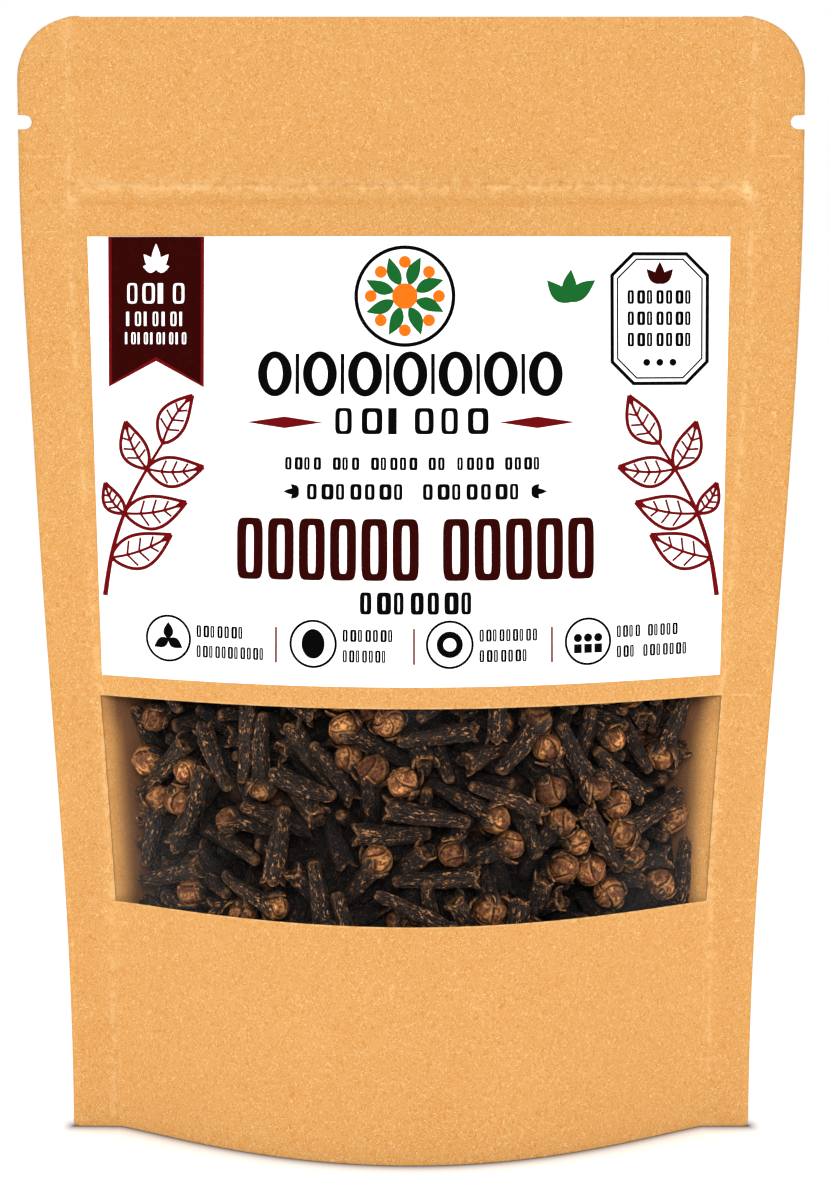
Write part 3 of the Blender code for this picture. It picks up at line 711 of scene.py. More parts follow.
@dataclass(frozen=True)
class PouchSheets:
    """The pouch itself: a front sheet with the window, a back sheet and the base gusset."""

    form: PouchForm
    window: Window
    middle_cells: int = 46
    margin_cells: int = 3
    seal_cells: int = 9
    middle_turn: float = np.pi / 2.15
    row_start: float = 3 * MM
    row_step: float = 2.2 * MM
    fine_step: float = 0.2 * MM
    least_step: float = 0.04 * MM
    corner_rows: int = 14
    foot_rows: int = 6
    groove: float = 4 * MM
    groove_width: float = 5 * MM
    corner_rise: float = 11 * MM
    flat_share: float = 0.35
    under_ground: float = 1.6 * MM
    gusset_cells: tuple[int, int] = (64, 48)
    side_dents: tuple[float, float] = (0.65 * MM, 0.1 * MM)
    dent_height: float = 122 * MM
    dent_reach: float = 34 * MM
    worn_cut: float = 0.85
    worn_cut_width: float = 0.16 * MM
    liner_cells: tuple[int, int] = (20, 60)
    liner_lap: float = 3 * MM
    liner_gap: float = 0.1 * MM
    liner_wall: float = 0.05 * MM
    liner_shade: tuple[float, float] = (0.8 * MM, 5.2 * MM)
    liner_shifts: tuple[float, float] = (0.3 * MM, -0.7 * MM)
    liner_top: float = 0.35
    liner_top_reach: float = 9 * MM

    @staticmethod
    def plain_paper_values(shape: tuple[int, ...], shaded: np.ndarray | float = 0.0) -> dict[str, np.ndarray]:
        """Point values of plain paper, without creases, wear or painted highlights, and with the
        given painted shade.
        """
        far, none = np.full(shape, FAR), np.zeros(shape)
        return {"off_crease": far, "off_press": far, "worn": none, "shaded": none + shaded}

    def rows(self) -> np.ndarray:
        """Heights of the grid's rows, closer at the zip, notches, presses, window and ends."""
        form = self.form
        top_turn = np.linspace(0, np.pi / 2, self.corner_rows)
        foot_turn = np.linspace(0, np.pi / 2, self.foot_rows)
        heights = [
            np.arange(self.row_start, form.height - form.corner_radius, self.row_step),
            form.foot_radius * (1 - np.cos(foot_turn)),
            form.height - form.corner_radius * (1 - np.sin(top_turn)),
            np.arange(form.zip_low - 1 * MM, form.zip_high + 1 * MM, self.fine_step),
            np.array([self.window.low, self.window.high]),
        ]
        for press in form.presses:
            heights.append(press + np.arange(-3, 4) * self.fine_step)
        bite = np.array([0, 0.3, 0.55, 0.75, 0.9, 1]) * form.notch_radius
        reach = np.append(bite, form.notch_radius + form.notch_flare)
        heights += [form.notch_height + reach, form.notch_height - reach]
        rows = np.unique(np.round(np.concatenate(heights), 7))
        far = np.append(True, np.diff(rows) > self.least_step)
        fixed = np.isin(rows, np.round([self.window.low, self.window.high, form.height], 7))
        return rows[far | fixed]

    def columns(self, z: np.ndarray) -> np.ndarray:
        """Places of the grid's columns in each row, from the left edge to the right.

        The middle cells share out the window's width, the margin cells reach the crease
        and the seal cells the edge.
        """
        edge = self.form.edge(z)[:, None]
        crease = np.minimum(self.form.crease(z)[:, None], edge - 0.8 * MM)
        window = np.minimum(self.window.half(self.form, z)[:, None], crease - 0.5 * MM)
        middle = window * np.sin(np.linspace(0, self.middle_turn, self.middle_cells + 1))
        middle = middle / np.sin(self.middle_turn)
        margin = window + (crease - window) * np.linspace(0, 1, self.margin_cells + 1)[1:]
        seal = crease + (edge - crease) * np.linspace(0, 1, self.seal_cells + 1)[1:] ** 1.3
        right = np.concatenate([middle, margin, seal], axis=1)
        past = np.clip((right - crease) / self.form.side_seal, 0, 1)
        dent = ridge(z - self.dent_height, self.dent_reach)[:, None] * past
        left = right - self.side_dents[0] * dent
        right = right - self.side_dents[1] * dent
        return np.concatenate([-left[:, :0:-1], right], axis=1)

    def sheet(self, side: int) -> Surface:
        """One sheet, its values for the creases included.

        Args:
            side: -1 for the front, which has the window, or 1 for the back.

        Returns:
            The sheet's outer surface.
        """
        rows = self.rows()
        x = self.columns(rows)
        z = np.broadcast_to(rows[:, None], x.shape)
        y = side * self.form.front(x, z)
        points = np.stack([x, y, z], axis=-1)
        near = np.min([np.abs(z - press) for press in self.form.presses], axis=0)
        off = np.abs(x) - self.form.fold_line(z)
        zip_top, zip_foot = z - self.form.zip_high, z - self.form.zip_low
        ends = 1 - smooth_step(off, -1.5 * MM, 0)
        values = {
            "off_crease": off,
            "off_press": np.where(off > -0.6 * MM, near, FAR),
            # worn: a painted highlight along the zip band's upper edge (partly worn paper), a
            # lighter patch where the zip meets the seal, and the crease line, which is partly wear
            # and partly painted highlight.
            "worn": 0.42 * ends * ridge(zip_top + 0.3 * MM, 1.2 * MM)
            + 0.75 * ridge(off + 0.5 * MM, 1.2 * MM) * ridge(zip_top + 1.2 * MM, 1.8 * MM)
            + 0.14 * ridge(off, 1.3 * MM),
            # shaded: painted shade under the zip band's lower edge.
            "shaded": 0.30 * ends * ridge(zip_foot, 0.45 * MM),
        }
        if side < 0:
            inside = self.window.half(self.form, z) - np.abs(x)
            beyond = np.maximum(np.maximum(self.window.low - z, z - self.window.high), -inside)
            cut = self.worn_cut * ridge(beyond, self.worn_cut_width)
            values["worn"] = np.maximum(values["worn"], cut)
        if side > 0:
            flipped = {name: value[:, ::-1] for name, value in values.items()}
            return Surface.grid(points[:, ::-1], flipped)
        level = (rows[:-1] > self.window.low - 1e-6) & (rows[1:] < self.window.high + 1e-6)
        first = self.seal_cells + self.margin_cells
        hole = np.zeros((len(rows) - 1, x.shape[1] - 1), bool)
        hole[level, first : x.shape[1] - 1 - first] = True
        return Surface.grid(points, values, hole)

    def gusset(self) -> Surface:
        """The base: flat on the ground, folded up into a groove inside the rim.

        Its height is the higher of the groove, which fades with the distance from the
        rim, and the rise towards the corners, which grows as the square of the share
        across beyond the flat middle.
        """
        across, through = self.gusset_cells
        s = np.sin(np.linspace(-np.pi / 2, np.pi / 2, across + 1))[:, None]
        t = np.sin(np.linspace(-np.pi / 2, np.pi / 2, through + 1))[None, :]
        rim = (1 - np.abs(t)) * self.form.base_bulge * (1 - s * s)
        near = np.maximum(1 - rim / self.groove_width, 0)
        fold = (self.groove + self.under_ground) * near - self.under_ground
        beyond = np.clip((np.abs(s) - self.flat_share) / (1 - self.flat_share), 0, 1)
        rise = self.corner_rise * beyond**2 - self.under_ground
        z = np.maximum(np.maximum(fold, rise), 0)
        x = self.form.inset_half(z, self.form.wall) * s
        y = t * np.maximum(self.form.depth(x, z) - self.form.wall, 0)
        return Surface.grid(np.stack([x, y, z], axis=-1), self.plain_paper_values(z.shape))

    def liner(self) -> Surface:
        """The back panel's inside where the window's ends show it.

        It carries painted shade: a smooth step of the distance from the crease, moved a little
        inward or outward at either end, plus a smaller one towards the window's top.
        """
        window = self.window
        rows, columns = self.liner_cells
        z = np.linspace(window.low - self.liner_lap, window.high + self.liner_lap, rows)[:, None]
        s = np.sin(np.linspace(-np.pi / 2, np.pi / 2, columns))[None, :]
        inset = self.form.wall + self.liner_gap
        x = self.form.inset_half(z, inset) * s
        z = np.broadcast_to(z, x.shape)
        y = self.form.depth(x, z) - inset
        past = self.form.crease(z) - np.abs(x) + np.where(x < 0, *self.liner_shifts)
        top = self.liner_top * smooth_step(z, window.high - self.liner_top_reach, window.high)
        shaded = np.clip(smooth_step(past, *self.liner_shade) + top, 0, 1)
        return Surface.grid(np.stack([x, y, z], axis=-1), self.plain_paper_values(z.shape, shaded))

    def build(self) -> None:
        """Makes the three sheets and the liner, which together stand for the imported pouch."""
        kraft, lining = KraftFinish().material(), LINING_LIT_AND_SHADED.material()
        for name, surface, finish, wall in (
            ("pouch_liner", self.liner(), lining, -self.liner_wall),
            ("pouch_front", self.sheet(-1), kraft, self.form.wall),
            ("pouch_back", self.sheet(1), kraft, self.form.wall),
            ("pouch_gusset", self.gusset(), kraft, self.form.wall),
        ):
            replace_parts(surface.piece(name, finish, "kraft_paper", wall), "pouch")


@dataclass(frozen=True)
class WindowFilm:
    """The clear film glued behind the window's edges."""

    form: PouchForm
    window: Window
    lap: float = 3 * MM
    side_margin: float = 0.3 * MM
    gap: float = 0.04 * MM
    thickness: float = 0.05 * MM
    slack: float = 0.06 * MM
    slack_reach: float = 8 * MM
    cells: tuple[int, int] = (40, 70)

    def build(self) -> None:
        """Makes the film: the front sheet's form moved in, with a slight waviness."""
        low, high = self.window.low - self.lap, self.window.high + self.lap
        z = np.linspace(low, high, self.cells[0] + 1)[:, None]
        s = np.sin(np.linspace(-np.pi / 2, np.pi / 2, self.cells[1] + 1))[None, :]
        x = (self.form.crease(z) - self.side_margin) * s
        z = np.broadcast_to(z, x.shape)
        wave = np.sin(x / (13 * MM) + np.sin(z / (9 * MM))) + np.sin(z / (7 * MM) - x / (19 * MM))
        ends = np.minimum(z - low, high - z)
        loose = smooth_step(ends, self.lap, self.lap + self.slack_reach)
        inset = self.form.wall + self.gap + self.slack * loose * (1 + wave / 2)
        y = -(self.form.front(x, z) - inset)
        surface = Surface.grid(np.stack([x, y, z], axis=-1))
        piece = surface.piece("film_pane", FilmFinish().material(), "clear_film", self.thickness)
        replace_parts(piece, "window_film")


def plane_grid(x: np.ndarray, z: np.ndarray) -> np.ndarray:
    """Places on the label as rows by columns by 2, turned so that they face the front."""
    plane = np.stack(np.broadcast_arrays(x, z), axis=-1)
    across, up = plane[:-1, 1:] - plane[:-1, :-1], plane[1:, :-1] - plane[:-1, :-1]
    turned = (across[..., 0] * up[..., 1] - across[..., 1] * up[..., 0]).sum() < 0
    return plane[:, ::-1] if turned else plane


def bar(x0: float, x1: float, low: float, high: float, notch: float = 0.0) -> np.ndarray:
    """A filled bar between two heights.

    Args:
        x0: left end.
        x1: right end.
        low: lower edge.
        high: upper edge.
        notch: how far the lower edge rises to a point in the middle.

    Returns:
        Its grid of places on the label.
    """
    across = int((x1 - x0) / PRINT_CELL) // 2 * 2 + 2
    upward = int((high - low) / PRINT_CELL) + 1
    s, t = np.linspace(0, 1, across + 1)[None, :], np.linspace(0, 1, upward + 1)[:, None]
    foot = low + notch * (1 - np.abs(2 * s - 1))
    return plane_grid(x0 + (x1 - x0) * s, foot + (high - foot) * t)


def stroke(path: np.ndarray, width: np.ndarray | float) -> np.ndarray:
    """A line of the given width along a path of places, each end cut square."""
    along = unit(np.gradient(path, axis=0))
    side = np.stack([-along[:, 1], along[:, 0]], axis=-1) * (np.asarray(width) / 2).reshape(-1, 1)
    rails = np.stack([path - side, path + side], axis=0)
    return plane_grid(rails[..., 0], rails[..., 1])


def ring(centre: Place, radius: float, width: float) -> np.ndarray:
    """A line of the given width along a circle."""
    steps = int(2 * np.pi * radius / ARC_STEP)
    angle = np.linspace(0, 2 * np.pi, steps + 1)
    rails = np.array([radius - width / 2, radius + width / 2])[:, None]
    return plane_grid(centre[0] + rails * np.cos(angle), centre[1] + rails * np.sin(angle))


def disc(centre: Place, half_x: float, half_z: float) -> np.ndarray:
    """A filled ellipse: a square grid with each place (s, t) pulled in by sqrt(1 - t^2 / 2)."""
    s, t = np.meshgrid(np.linspace(-1, 1, 9), np.linspace(-1, 1, 9))
    return plane_grid(
        centre[0] + half_x * s * np.sqrt(1 - t * t / 2),
        centre[1] + half_z * t * np.sqrt(1 - s * s / 2),
    )


def around(centre: Place, radius: float, angle: float) -> Place:
    """The place on a circle at an angle in degrees."""
    turn = math.radians(angle)
    return centre[0] + radius * math.cos(turn), centre[1] + radius * math.sin(turn)


def hoop(centre: Place, half_x: float, half_z: float, side: float,
         square: float = 1.0) -> np.ndarray:
    """A rounded oval band with thick sides and thinner ends.

    Its outline is (half_x cos^square, half_z sin^square), signs kept.

    Args:
        centre: its middle.
        half_x: outer half width.
        half_z: outer half height.
        side: thickness at its sides; its ends are three quarters as thick.
        square: 1 for an ellipse, less for a squarer form.

    Returns:
        Its grid of places on the label.
    """
    angle = np.linspace(0, 2 * np.pi, HOOP_STEPS + 1)
    across = np.sign(np.cos(angle)) * np.abs(np.cos(angle)) ** square
    up = np.sign(np.sin(angle)) * np.abs(np.sin(angle)) ** square
    inward = side * np.array([[1.0], [0.0]])
    return plane_grid(
        centre[0] + (half_x - inward) * across, centre[1] + (half_z - 0.75 * inward) * up
    )


def leaf_sides(base: Place, angle: float, length: float, half: float,
               bend: float) -> tuple[np.ndarray, np.ndarray, np.ndarray]:
    """The middle line of a leaf and its two edges.

    The middle line is bent aside by 4 times bend times s(1 - s), and the edges lie half
    times sin(pi s^0.8) to either side of it.

    Args:
        base: where the leaf starts.
        angle: its direction in degrees.
        length: its length.
        half: half its greatest width.
        bend: how far the middle of its middle line is bent aside.

    Returns:
        The middle line and the two edges, each LEAF_STEPS + 1 by 2.
    """
    s = np.linspace(0.0, 1.0, LEAF_STEPS + 1)
    turn = math.radians(angle)
    forward = np.array([math.cos(turn), math.sin(turn)])
    aside = np.array([-math.sin(turn), math.cos(turn)])
    middle = np.array(base) + np.outer(s * length, forward)
    middle = middle + np.outer(4 * bend * s * (1 - s), aside)
    reach = np.outer(half * np.sin(np.pi * s**0.8) + 0.01 * MM, aside)
    return middle, middle + reach, middle - reach


def leaf(base: Place, angle: float, length: float, half: float,
         bend: float = 0.0) -> np.ndarray:
    """A filled leaf or petal."""
    _, left, right = leaf_sides(base, angle, length, half, bend)
    return plane_grid(*np.moveaxis(np.stack([right, left]), -1, 0))


def fan(base: Place, petals: Sequence[tuple[float, float]], half: float,
        bend: float = 0.0) -> list[np.ndarray]:
    """Petals from one place, each with an angle in degrees and a length in millimetres."""
    return [leaf(base, angle, length * MM, half, bend) for angle, length in petals]


def closed_line(corners: np.ndarray, width: float) -> np.ndarray:
    """A mitred line of the given width round a closed polygon."""
    along = unit(np.roll(corners, -1, axis=0) - corners)
    normal = np.stack([along[:, 1], -along[:, 0]], axis=-1)
    before = np.roll(normal, 1, axis=0)
    mitre = (normal + before) / (1 + (normal * before).sum(1))[:, None] * width / 2
    share = np.arange(SIDE_STEPS)[None, :, None] / SIDE_STEPS
    rails = []
    for rail in (corners + mitre, corners - mitre):
        ends = np.roll(rail, -1, axis=0)
        line = (rail[:, None] + (ends - rail)[:, None] * share).reshape(-1, 2)
        rails.append(np.concatenate([line, line[:1]]))
    joined = np.stack(rails)
    return plane_grid(joined[..., 0], joined[..., 1])


@dataclass(frozen=True)
class Row:
    """One line of plain upright blocks on the label, its places in millimetres.

    The counts say how many blocks stand in each group, bold how wide they are against
    their usual width, and hollow how thick a hollow block's sides are against its width.
    """

    left: float
    right: float
    foot: float
    head: float
    counts: tuple[int, ...]
    bold: float = 1.20
    hollow: float = 0.42


RIBBON_ROWS = (
    Row(-46.9, -36.7, 139.0, 142.3, (4,), 1.1, 0.22),
    Row(-47.1, -36.7, 135.3, 137.6, (7,), 0.9, 0.28),
    Row(-47.3, -36.7, 132.3, 134.2, (10,), 0.9, 0.30),
)
HEADING_ROWS = (
    Row(-12.4, 13.6, 117.7, 122.0, (6,), 1.1, 0.28),
    Row(-20.6, 21.6, 111.9, 114.0, (4, 3, 5, 2, 4, 4), 1.22),
    Row(-17.0, 18.5, 107.1, 109.7, (7, 7), 1.20, 0.37),
    Row(-8.3, 10.9, 88.7, 92.3, (7,), 1.20, 0.40),
)
FEATURE_ROWS = (
    Row(-35.3, -27.1, 84.3, 86.3, (7,)), Row(-35.3, -23.7, 81.0, 83.0, (11,)),
    Row(-11.1, -2.5, 84.3, 86.3, (7,)), Row(-11.1, -3.7, 81.0, 83.0, (7,)),
    Row(11.1, 20.9, 84.3, 86.3, (9,)), Row(11.1, 19.3, 81.0, 83.0, (7,)),
    Row(33.8, 44.4, 84.3, 86.3, (4, 5)), Row(33.8, 46.2, 81.0, 83.0, (3, 7)),
)
BADGE_ROWS = tuple(Row(35.7, 46.9, foot, foot + 2.3, (7,)) for foot in (138.9, 135.4, 131.9))
BLOCK_WIDTHS = (0.58, 0.72, 0.50, 0.66)
"""Widths of blocks in turn, in shares of the pitch, so that a line looks uneven."""
HOLLOW_FROM = 0.55
"""The share of the pitch from which a block is wide enough to be hollow."""
SOLID_SHARE = 0.6
"""How wide a full block is against a hollow one's width."""
BLOCK_SQUARE = 0.4
"""How square a hollow block is, as hoop takes it."""
LAYERS = {Ink.RED: 1, Ink.MAROON: 2, Ink.BLACK: 1, Ink.GREEN: 1, Ink.ORANGE: 2, Ink.WHITE: 3}
"""How high each ink lies on the label, so that no two of them share a height where they meet."""


def words(*rows: Row) -> list[np.ndarray]:
    """The blocks of some rows.

    Args:
        rows: the lines of blocks.

    Returns:
        A hoop for each wide block and a bar for each narrow one.
    """
    blocks = []
    for row in rows:
        left, right, foot, head = (v * MM for v in (row.left, row.right, row.foot, row.head))
        pitch = (right - left) / (sum(row.counts) + len(row.counts) - 1)
        place = 0
        for count in row.counts:
            for number in range(place, place + count):
                start = left + number * pitch
                wide = BLOCK_WIDTHS[number % len(BLOCK_WIDTHS)] * pitch * row.bold
                if wide > HOLLOW_FROM * pitch:
                    middle = (start + wide / 2, (foot + head) / 2)
                    side = row.hollow * wide
                    blocks.append(hoop(middle, wide / 2, (head - foot) / 2, side, BLOCK_SQUARE))
                else:
                    blocks.append(bar(start, start + wide * SOLID_SHARE, foot, head))
            place += count + 1
    return blocks


@dataclass(frozen=True)
class Label:
    """The white paper label and its generic print: plain bars, rings, leaves and petals."""

    form: PouchForm
    low: float = 77.1 * MM
    high: float = 150.0 * MM
    half_low: float = 51.7 * MM
    half_high: float = 53.2 * MM
    lean: float = 0.35 * MM
    glue: float = 0.05 * MM
    paper: float = 0.10 * MM
    ink: float = 0.02 * MM
    first_lift: float = 0.012 * MM
    layer_lift: float = 0.03 * MM
    print_margin: float = 0.25 * MM
    stem_line: float = 0.80 * MM
    leaf_line: float = 0.60 * MM
    rib_line: float = 0.46 * MM
    vein_line: float = 0.38 * MM
    leaf_angle: float = 56
    edge_turn: float = np.pi / 2.2
    cells: tuple[int, int] = (52, 84)

    def face(self, x: np.ndarray, z: np.ndarray, lift: float = 0.0) -> np.ndarray:
        """Points on the paper's outside, or lifted off it."""
        y = -(self.form.front(x, z) + self.glue + self.paper + lift)
        return np.stack([x, y, z], axis=-1)

    def half(self, z: np.ndarray) -> np.ndarray:
        """Half width of the paper, from half_low at its foot to half_high at its head."""
        share = (z - self.low) / (self.high - self.low)
        return self.half_low + (self.half_high - self.half_low) * share

    def ribbon(self) -> dict[Ink, list[np.ndarray]]:
        """The dark ribbon at the upper left, with a spray of petals and three rows of bars."""
        left, right, foot, notch = -50.1 * MM, -34.1 * MM, 125.2 * MM, 4.3 * MM
        top, rim, hem = self.high - 0.03 * MM, 0.56 * MM, 0.7 * MM
        petals = ((90, 4.2), (50, 3.2), (130, 3.2), (12, 2.2), (168, 2.2))
        white = fan(((left + right) / 2, 144.6 * MM), petals, 0.72 * MM)
        return {
            Ink.RED: [bar(left, right, foot, top, notch)],
            Ink.MAROON: [bar(left + rim, right - rim, foot + hem, top, notch)],
            Ink.WHITE: white + words(*RIBBON_ROWS),
        }

    def emblem(self) -> dict[Ink, list[np.ndarray]]:
        """A ring round a rosette of green and orange petals."""
        centre, petals = (-1.0 * MM, 140.2 * MM), 8
        step = 360 / petals
        green, orange = [], []
        for number in range(petals):
            angle = (number + 0.5) * step
            start = around(centre, 1.9 * MM, angle)
            green.append(leaf(start, angle, 5.0 * MM, 1.08 * MM, 0.25 * MM))
            spot = around(centre, 5.6 * MM, angle + step / 2)
            orange.append(disc(spot, 1.0 * MM, 1.0 * MM))
        orange.append(disc(centre, 2.1 * MM, 2.1 * MM))
        black = [ring(centre, 8.0 * MM, 0.65 * MM)]
        return {Ink.BLACK: black, Ink.GREEN: green, Ink.ORANGE: orange}

    def headings(self) -> dict[Ink, list[np.ndarray]]:
        """The rows down the middle: an ornament band, block rows, diamonds and a tall row."""
        black, maroon, red = [], [], []
        left, right, low, high = -25.1 * MM, 24.9 * MM, 123.8 * MM, 131.2 * MM
        count, middle = 7, (low + high) / 2
        pitch = (right - left) / (count - 0.25)
        post_half, post_gap = 0.32 * MM, 0.4 * MM
        for number in range(count):
            x = left + (number + 0.375) * pitch
            black.append(hoop((x, middle), 0.38 * pitch, (high - low) / 2, 0.21 * pitch))
            if number < count - 1:
                post = x + pitch / 2
                black.append(bar(
                    post - post_half, post + post_half, low + post_gap, high - post_gap
                ))
        black += words(*HEADING_ROWS)
        along = np.linspace(-1, 1, 13)[None, :]
        half = 0.95 * MM * (1 - np.abs(along)) + 0.01 * MM
        for side in (-1, 1):
            x = side * 20.7 * MM + 6.3 * MM * along
            red.append(plane_grid(x, 119.6 * MM + half * np.array([[-1], [1]])))
            turn = 0 if side > 0 else 180
            petals = ((turn, 2.6), (turn + 42, 1.8), (turn - 42, 1.8))
            black += fan((0.7 * MM + side * 19.0 * MM, 108.4 * MM), petals, 0.5 * MM)
        for left, right, count in ((-28.5 * MM, 1.3 * MM, 6), (5.2 * MM, 30.0 * MM, 5)):
            pitch = (right - left) / (count - 0.16)
            for number in range(count):
                spot = (left + (number + 0.42) * pitch, 99.1 * MM)
                maroon.append(hoop(spot, 0.42 * pitch, 5.0 * MM, 0.30 * pitch, 0.35))
        return {Ink.BLACK: black, Ink.MAROON: maroon, Ink.RED: red}

    def features(self) -> dict[Ink, list[np.ndarray]]:
        """The foot row: four ringed marks with bars beside them, and thin dividers."""
        height = 83.9 * MM
        places = [(x * MM, height) for x in (-40.1, -15.9, 6.3, 29.0)]
        black = [ring(place, 3.7 * MM, 0.42 * MM) for place in places]
        petals, oval, hollow, dots = places
        foot = (petals[0], height - 0.1 * MM)
        black += fan(foot, ((90, 2.8), (210, 2.8), (330, 2.8)), 0.85 * MM)
        black += [disc(oval, 1.9 * MM, 2.4 * MM), ring(hollow, 1.6 * MM, 1.1 * MM)]
        for step in (-1.7 * MM, 0, 1.7 * MM):
            x = dots[0] + step
            black.append(disc((x, height + 0.6 * MM), 0.7 * MM, 0.7 * MM))
            black.append(bar(
                x - 0.65 * MM, x + 0.65 * MM, height - 1.9 * MM, height - 0.4 * MM
            ))
        half = 0.17 * MM
        red = [bar(x - half, x + half, 80.7 * MM, 86.5 * MM)
               for x in (-22.0 * MM, 0.5 * MM, 23.0 * MM)]
        return {Ink.BLACK: black + words(*FEATURE_ROWS), Ink.RED: red}

    def badge(self) -> dict[Ink, list[np.ndarray]]:
        """The eight-sided frame at the upper right, round a fan of petals and rows of bars."""
        left, right, low, high, cut = 33.0 * MM, 49.2 * MM, 125.7 * MM, 147.3 * MM, 3.6 * MM
        black = words(*BADGE_ROWS)
        for inset, width in ((0.15 * MM, 0.62 * MM), (1.05 * MM, 0.30 * MM)):
            a, b, c, d = left + inset, right - inset, low + inset, high - inset
            k = cut - 0.4 * inset
            corners = [(a + k, c), (b - k, c), (b, c + k), (b, d - k),
                       (b - k, d), (a + k, d), (a, d - k), (a, c + k)]
            black.append(closed_line(np.array(corners), width))
        centre = (left + right) / 2
        for step in (-2.2 * MM, 0, 2.2 * MM):
            black.append(disc((centre + step, 129.3 * MM), 0.6 * MM, 0.6 * MM))
        maroon = fan((centre, 142.2 * MM), ((90, 3.7), (48, 3.3), (132, 3.3)), 0.8 * MM)
        petals = ((90, 5.4), (42, 5.4), (138, 5.4))
        green = fan((26.4 * MM, 139.2 * MM), petals, 1.25 * MM, 0.3 * MM)
        return {Ink.BLACK: black, Ink.MAROON: maroon, Ink.GREEN: green}

    def sprays(self) -> dict[Ink, list[np.ndarray]]:
        """A line-drawn spray of paired leaves rising at either side."""
        red = []
        s = np.linspace(0, 1, 25)
        for side in (-1, 1):
            x = side * (51.0 * MM - 10.0 * MM * s + 2.0 * MM * np.sin(np.pi * s))
            z = 90.5 * MM + 25.5 * MM * s
            stem = np.stack([x, z], axis=-1)
            red.append(stroke(stem, self.stem_line * (1.1 - 0.5 * s)))
            direction = np.gradient(stem, axis=0)
            heading = np.degrees(np.arctan2(direction[:, 1], direction[:, 0]))
            for place, inner, outer in ((6, 11.2, 0.0), (13, 10.8, 6.0), (20, 9.6, 8.6)):
                for turn, length in ((side, inner), (-side, outer)):
                    if length:
                        angle = heading[place] + turn * self.leaf_angle
                        red += self.drawn_leaf(tuple(stem[place]), angle, length * MM, turn)
            red += self.drawn_leaf(tuple(stem[-1]), heading[-1], 9.4 * MM, 1)
        return {Ink.RED: red}

    def drawn_leaf(self, base: Place, angle: float, length: float,
                   turn: int) -> list[np.ndarray]:
        """A leaf in outline, with its middle line and four pairs of short veins."""
        middle, left, right = leaf_sides(base, angle, length, 0.25 * length, turn * 0.7 * MM)
        lines = [stroke(edge, self.leaf_line) for edge in (left, right)]
        lines.append(stroke(middle, self.rib_line))
        for place in (4, 7, 10, 13):
            for edge in (left, right):
                tip = middle[place] + (edge[min(place + 2, LEAF_STEPS)] - middle[place]) * 0.8
                lines.append(stroke(np.linspace(middle[place], tip, 3), self.vein_line))
        return lines

    def inside(self, plane: np.ndarray) -> np.ndarray:
        """Print places held within the paper's edges."""
        half = self.half(plane[..., 1]) - self.print_margin
        return np.stack([np.clip(plane[..., 0], -half, half), plane[..., 1]], axis=-1)

    def build(self) -> None:
        """Makes the paper and one piece of print for each ink and layer."""
        turn = np.linspace(-self.edge_turn, self.edge_turn, self.cells[1] + 1)
        z = np.linspace(self.low, self.high, self.cells[0] + 1)[:, None]
        x = self.half(z) * np.sin(turn) / np.sin(self.edge_turn)
        x = x - self.lean * (z - self.low) / (self.high - self.low)
        points = self.face(x, np.broadcast_to(z, x.shape))
        paper = Surface.grid(points).piece(
            "label_paper", LabelPaperFinish().material(), "label_paper", self.paper
        )
        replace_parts(paper, "label")
        shapes: dict[Ink, list[np.ndarray]] = {ink: [] for ink in Ink}
        for group in (self.ribbon(), self.emblem(), self.headings(), self.features(),
                      self.badge(), self.sprays()):
            for ink, drawn in group.items():
                shapes[ink] += drawn
        for ink, drawn in shapes.items():
            lift = self.first_lift + self.layer_lift * LAYERS[ink]
            held = [self.inside(plane) for plane in drawn]
            surfaces = [Surface.grid(self.face(p[..., 0], p[..., 1], lift)) for p in held]
            Surface.joined(surfaces).piece(
                f"print_{ink.name.lower()}", ink.material(), "label_paper", self.ink, False
            )


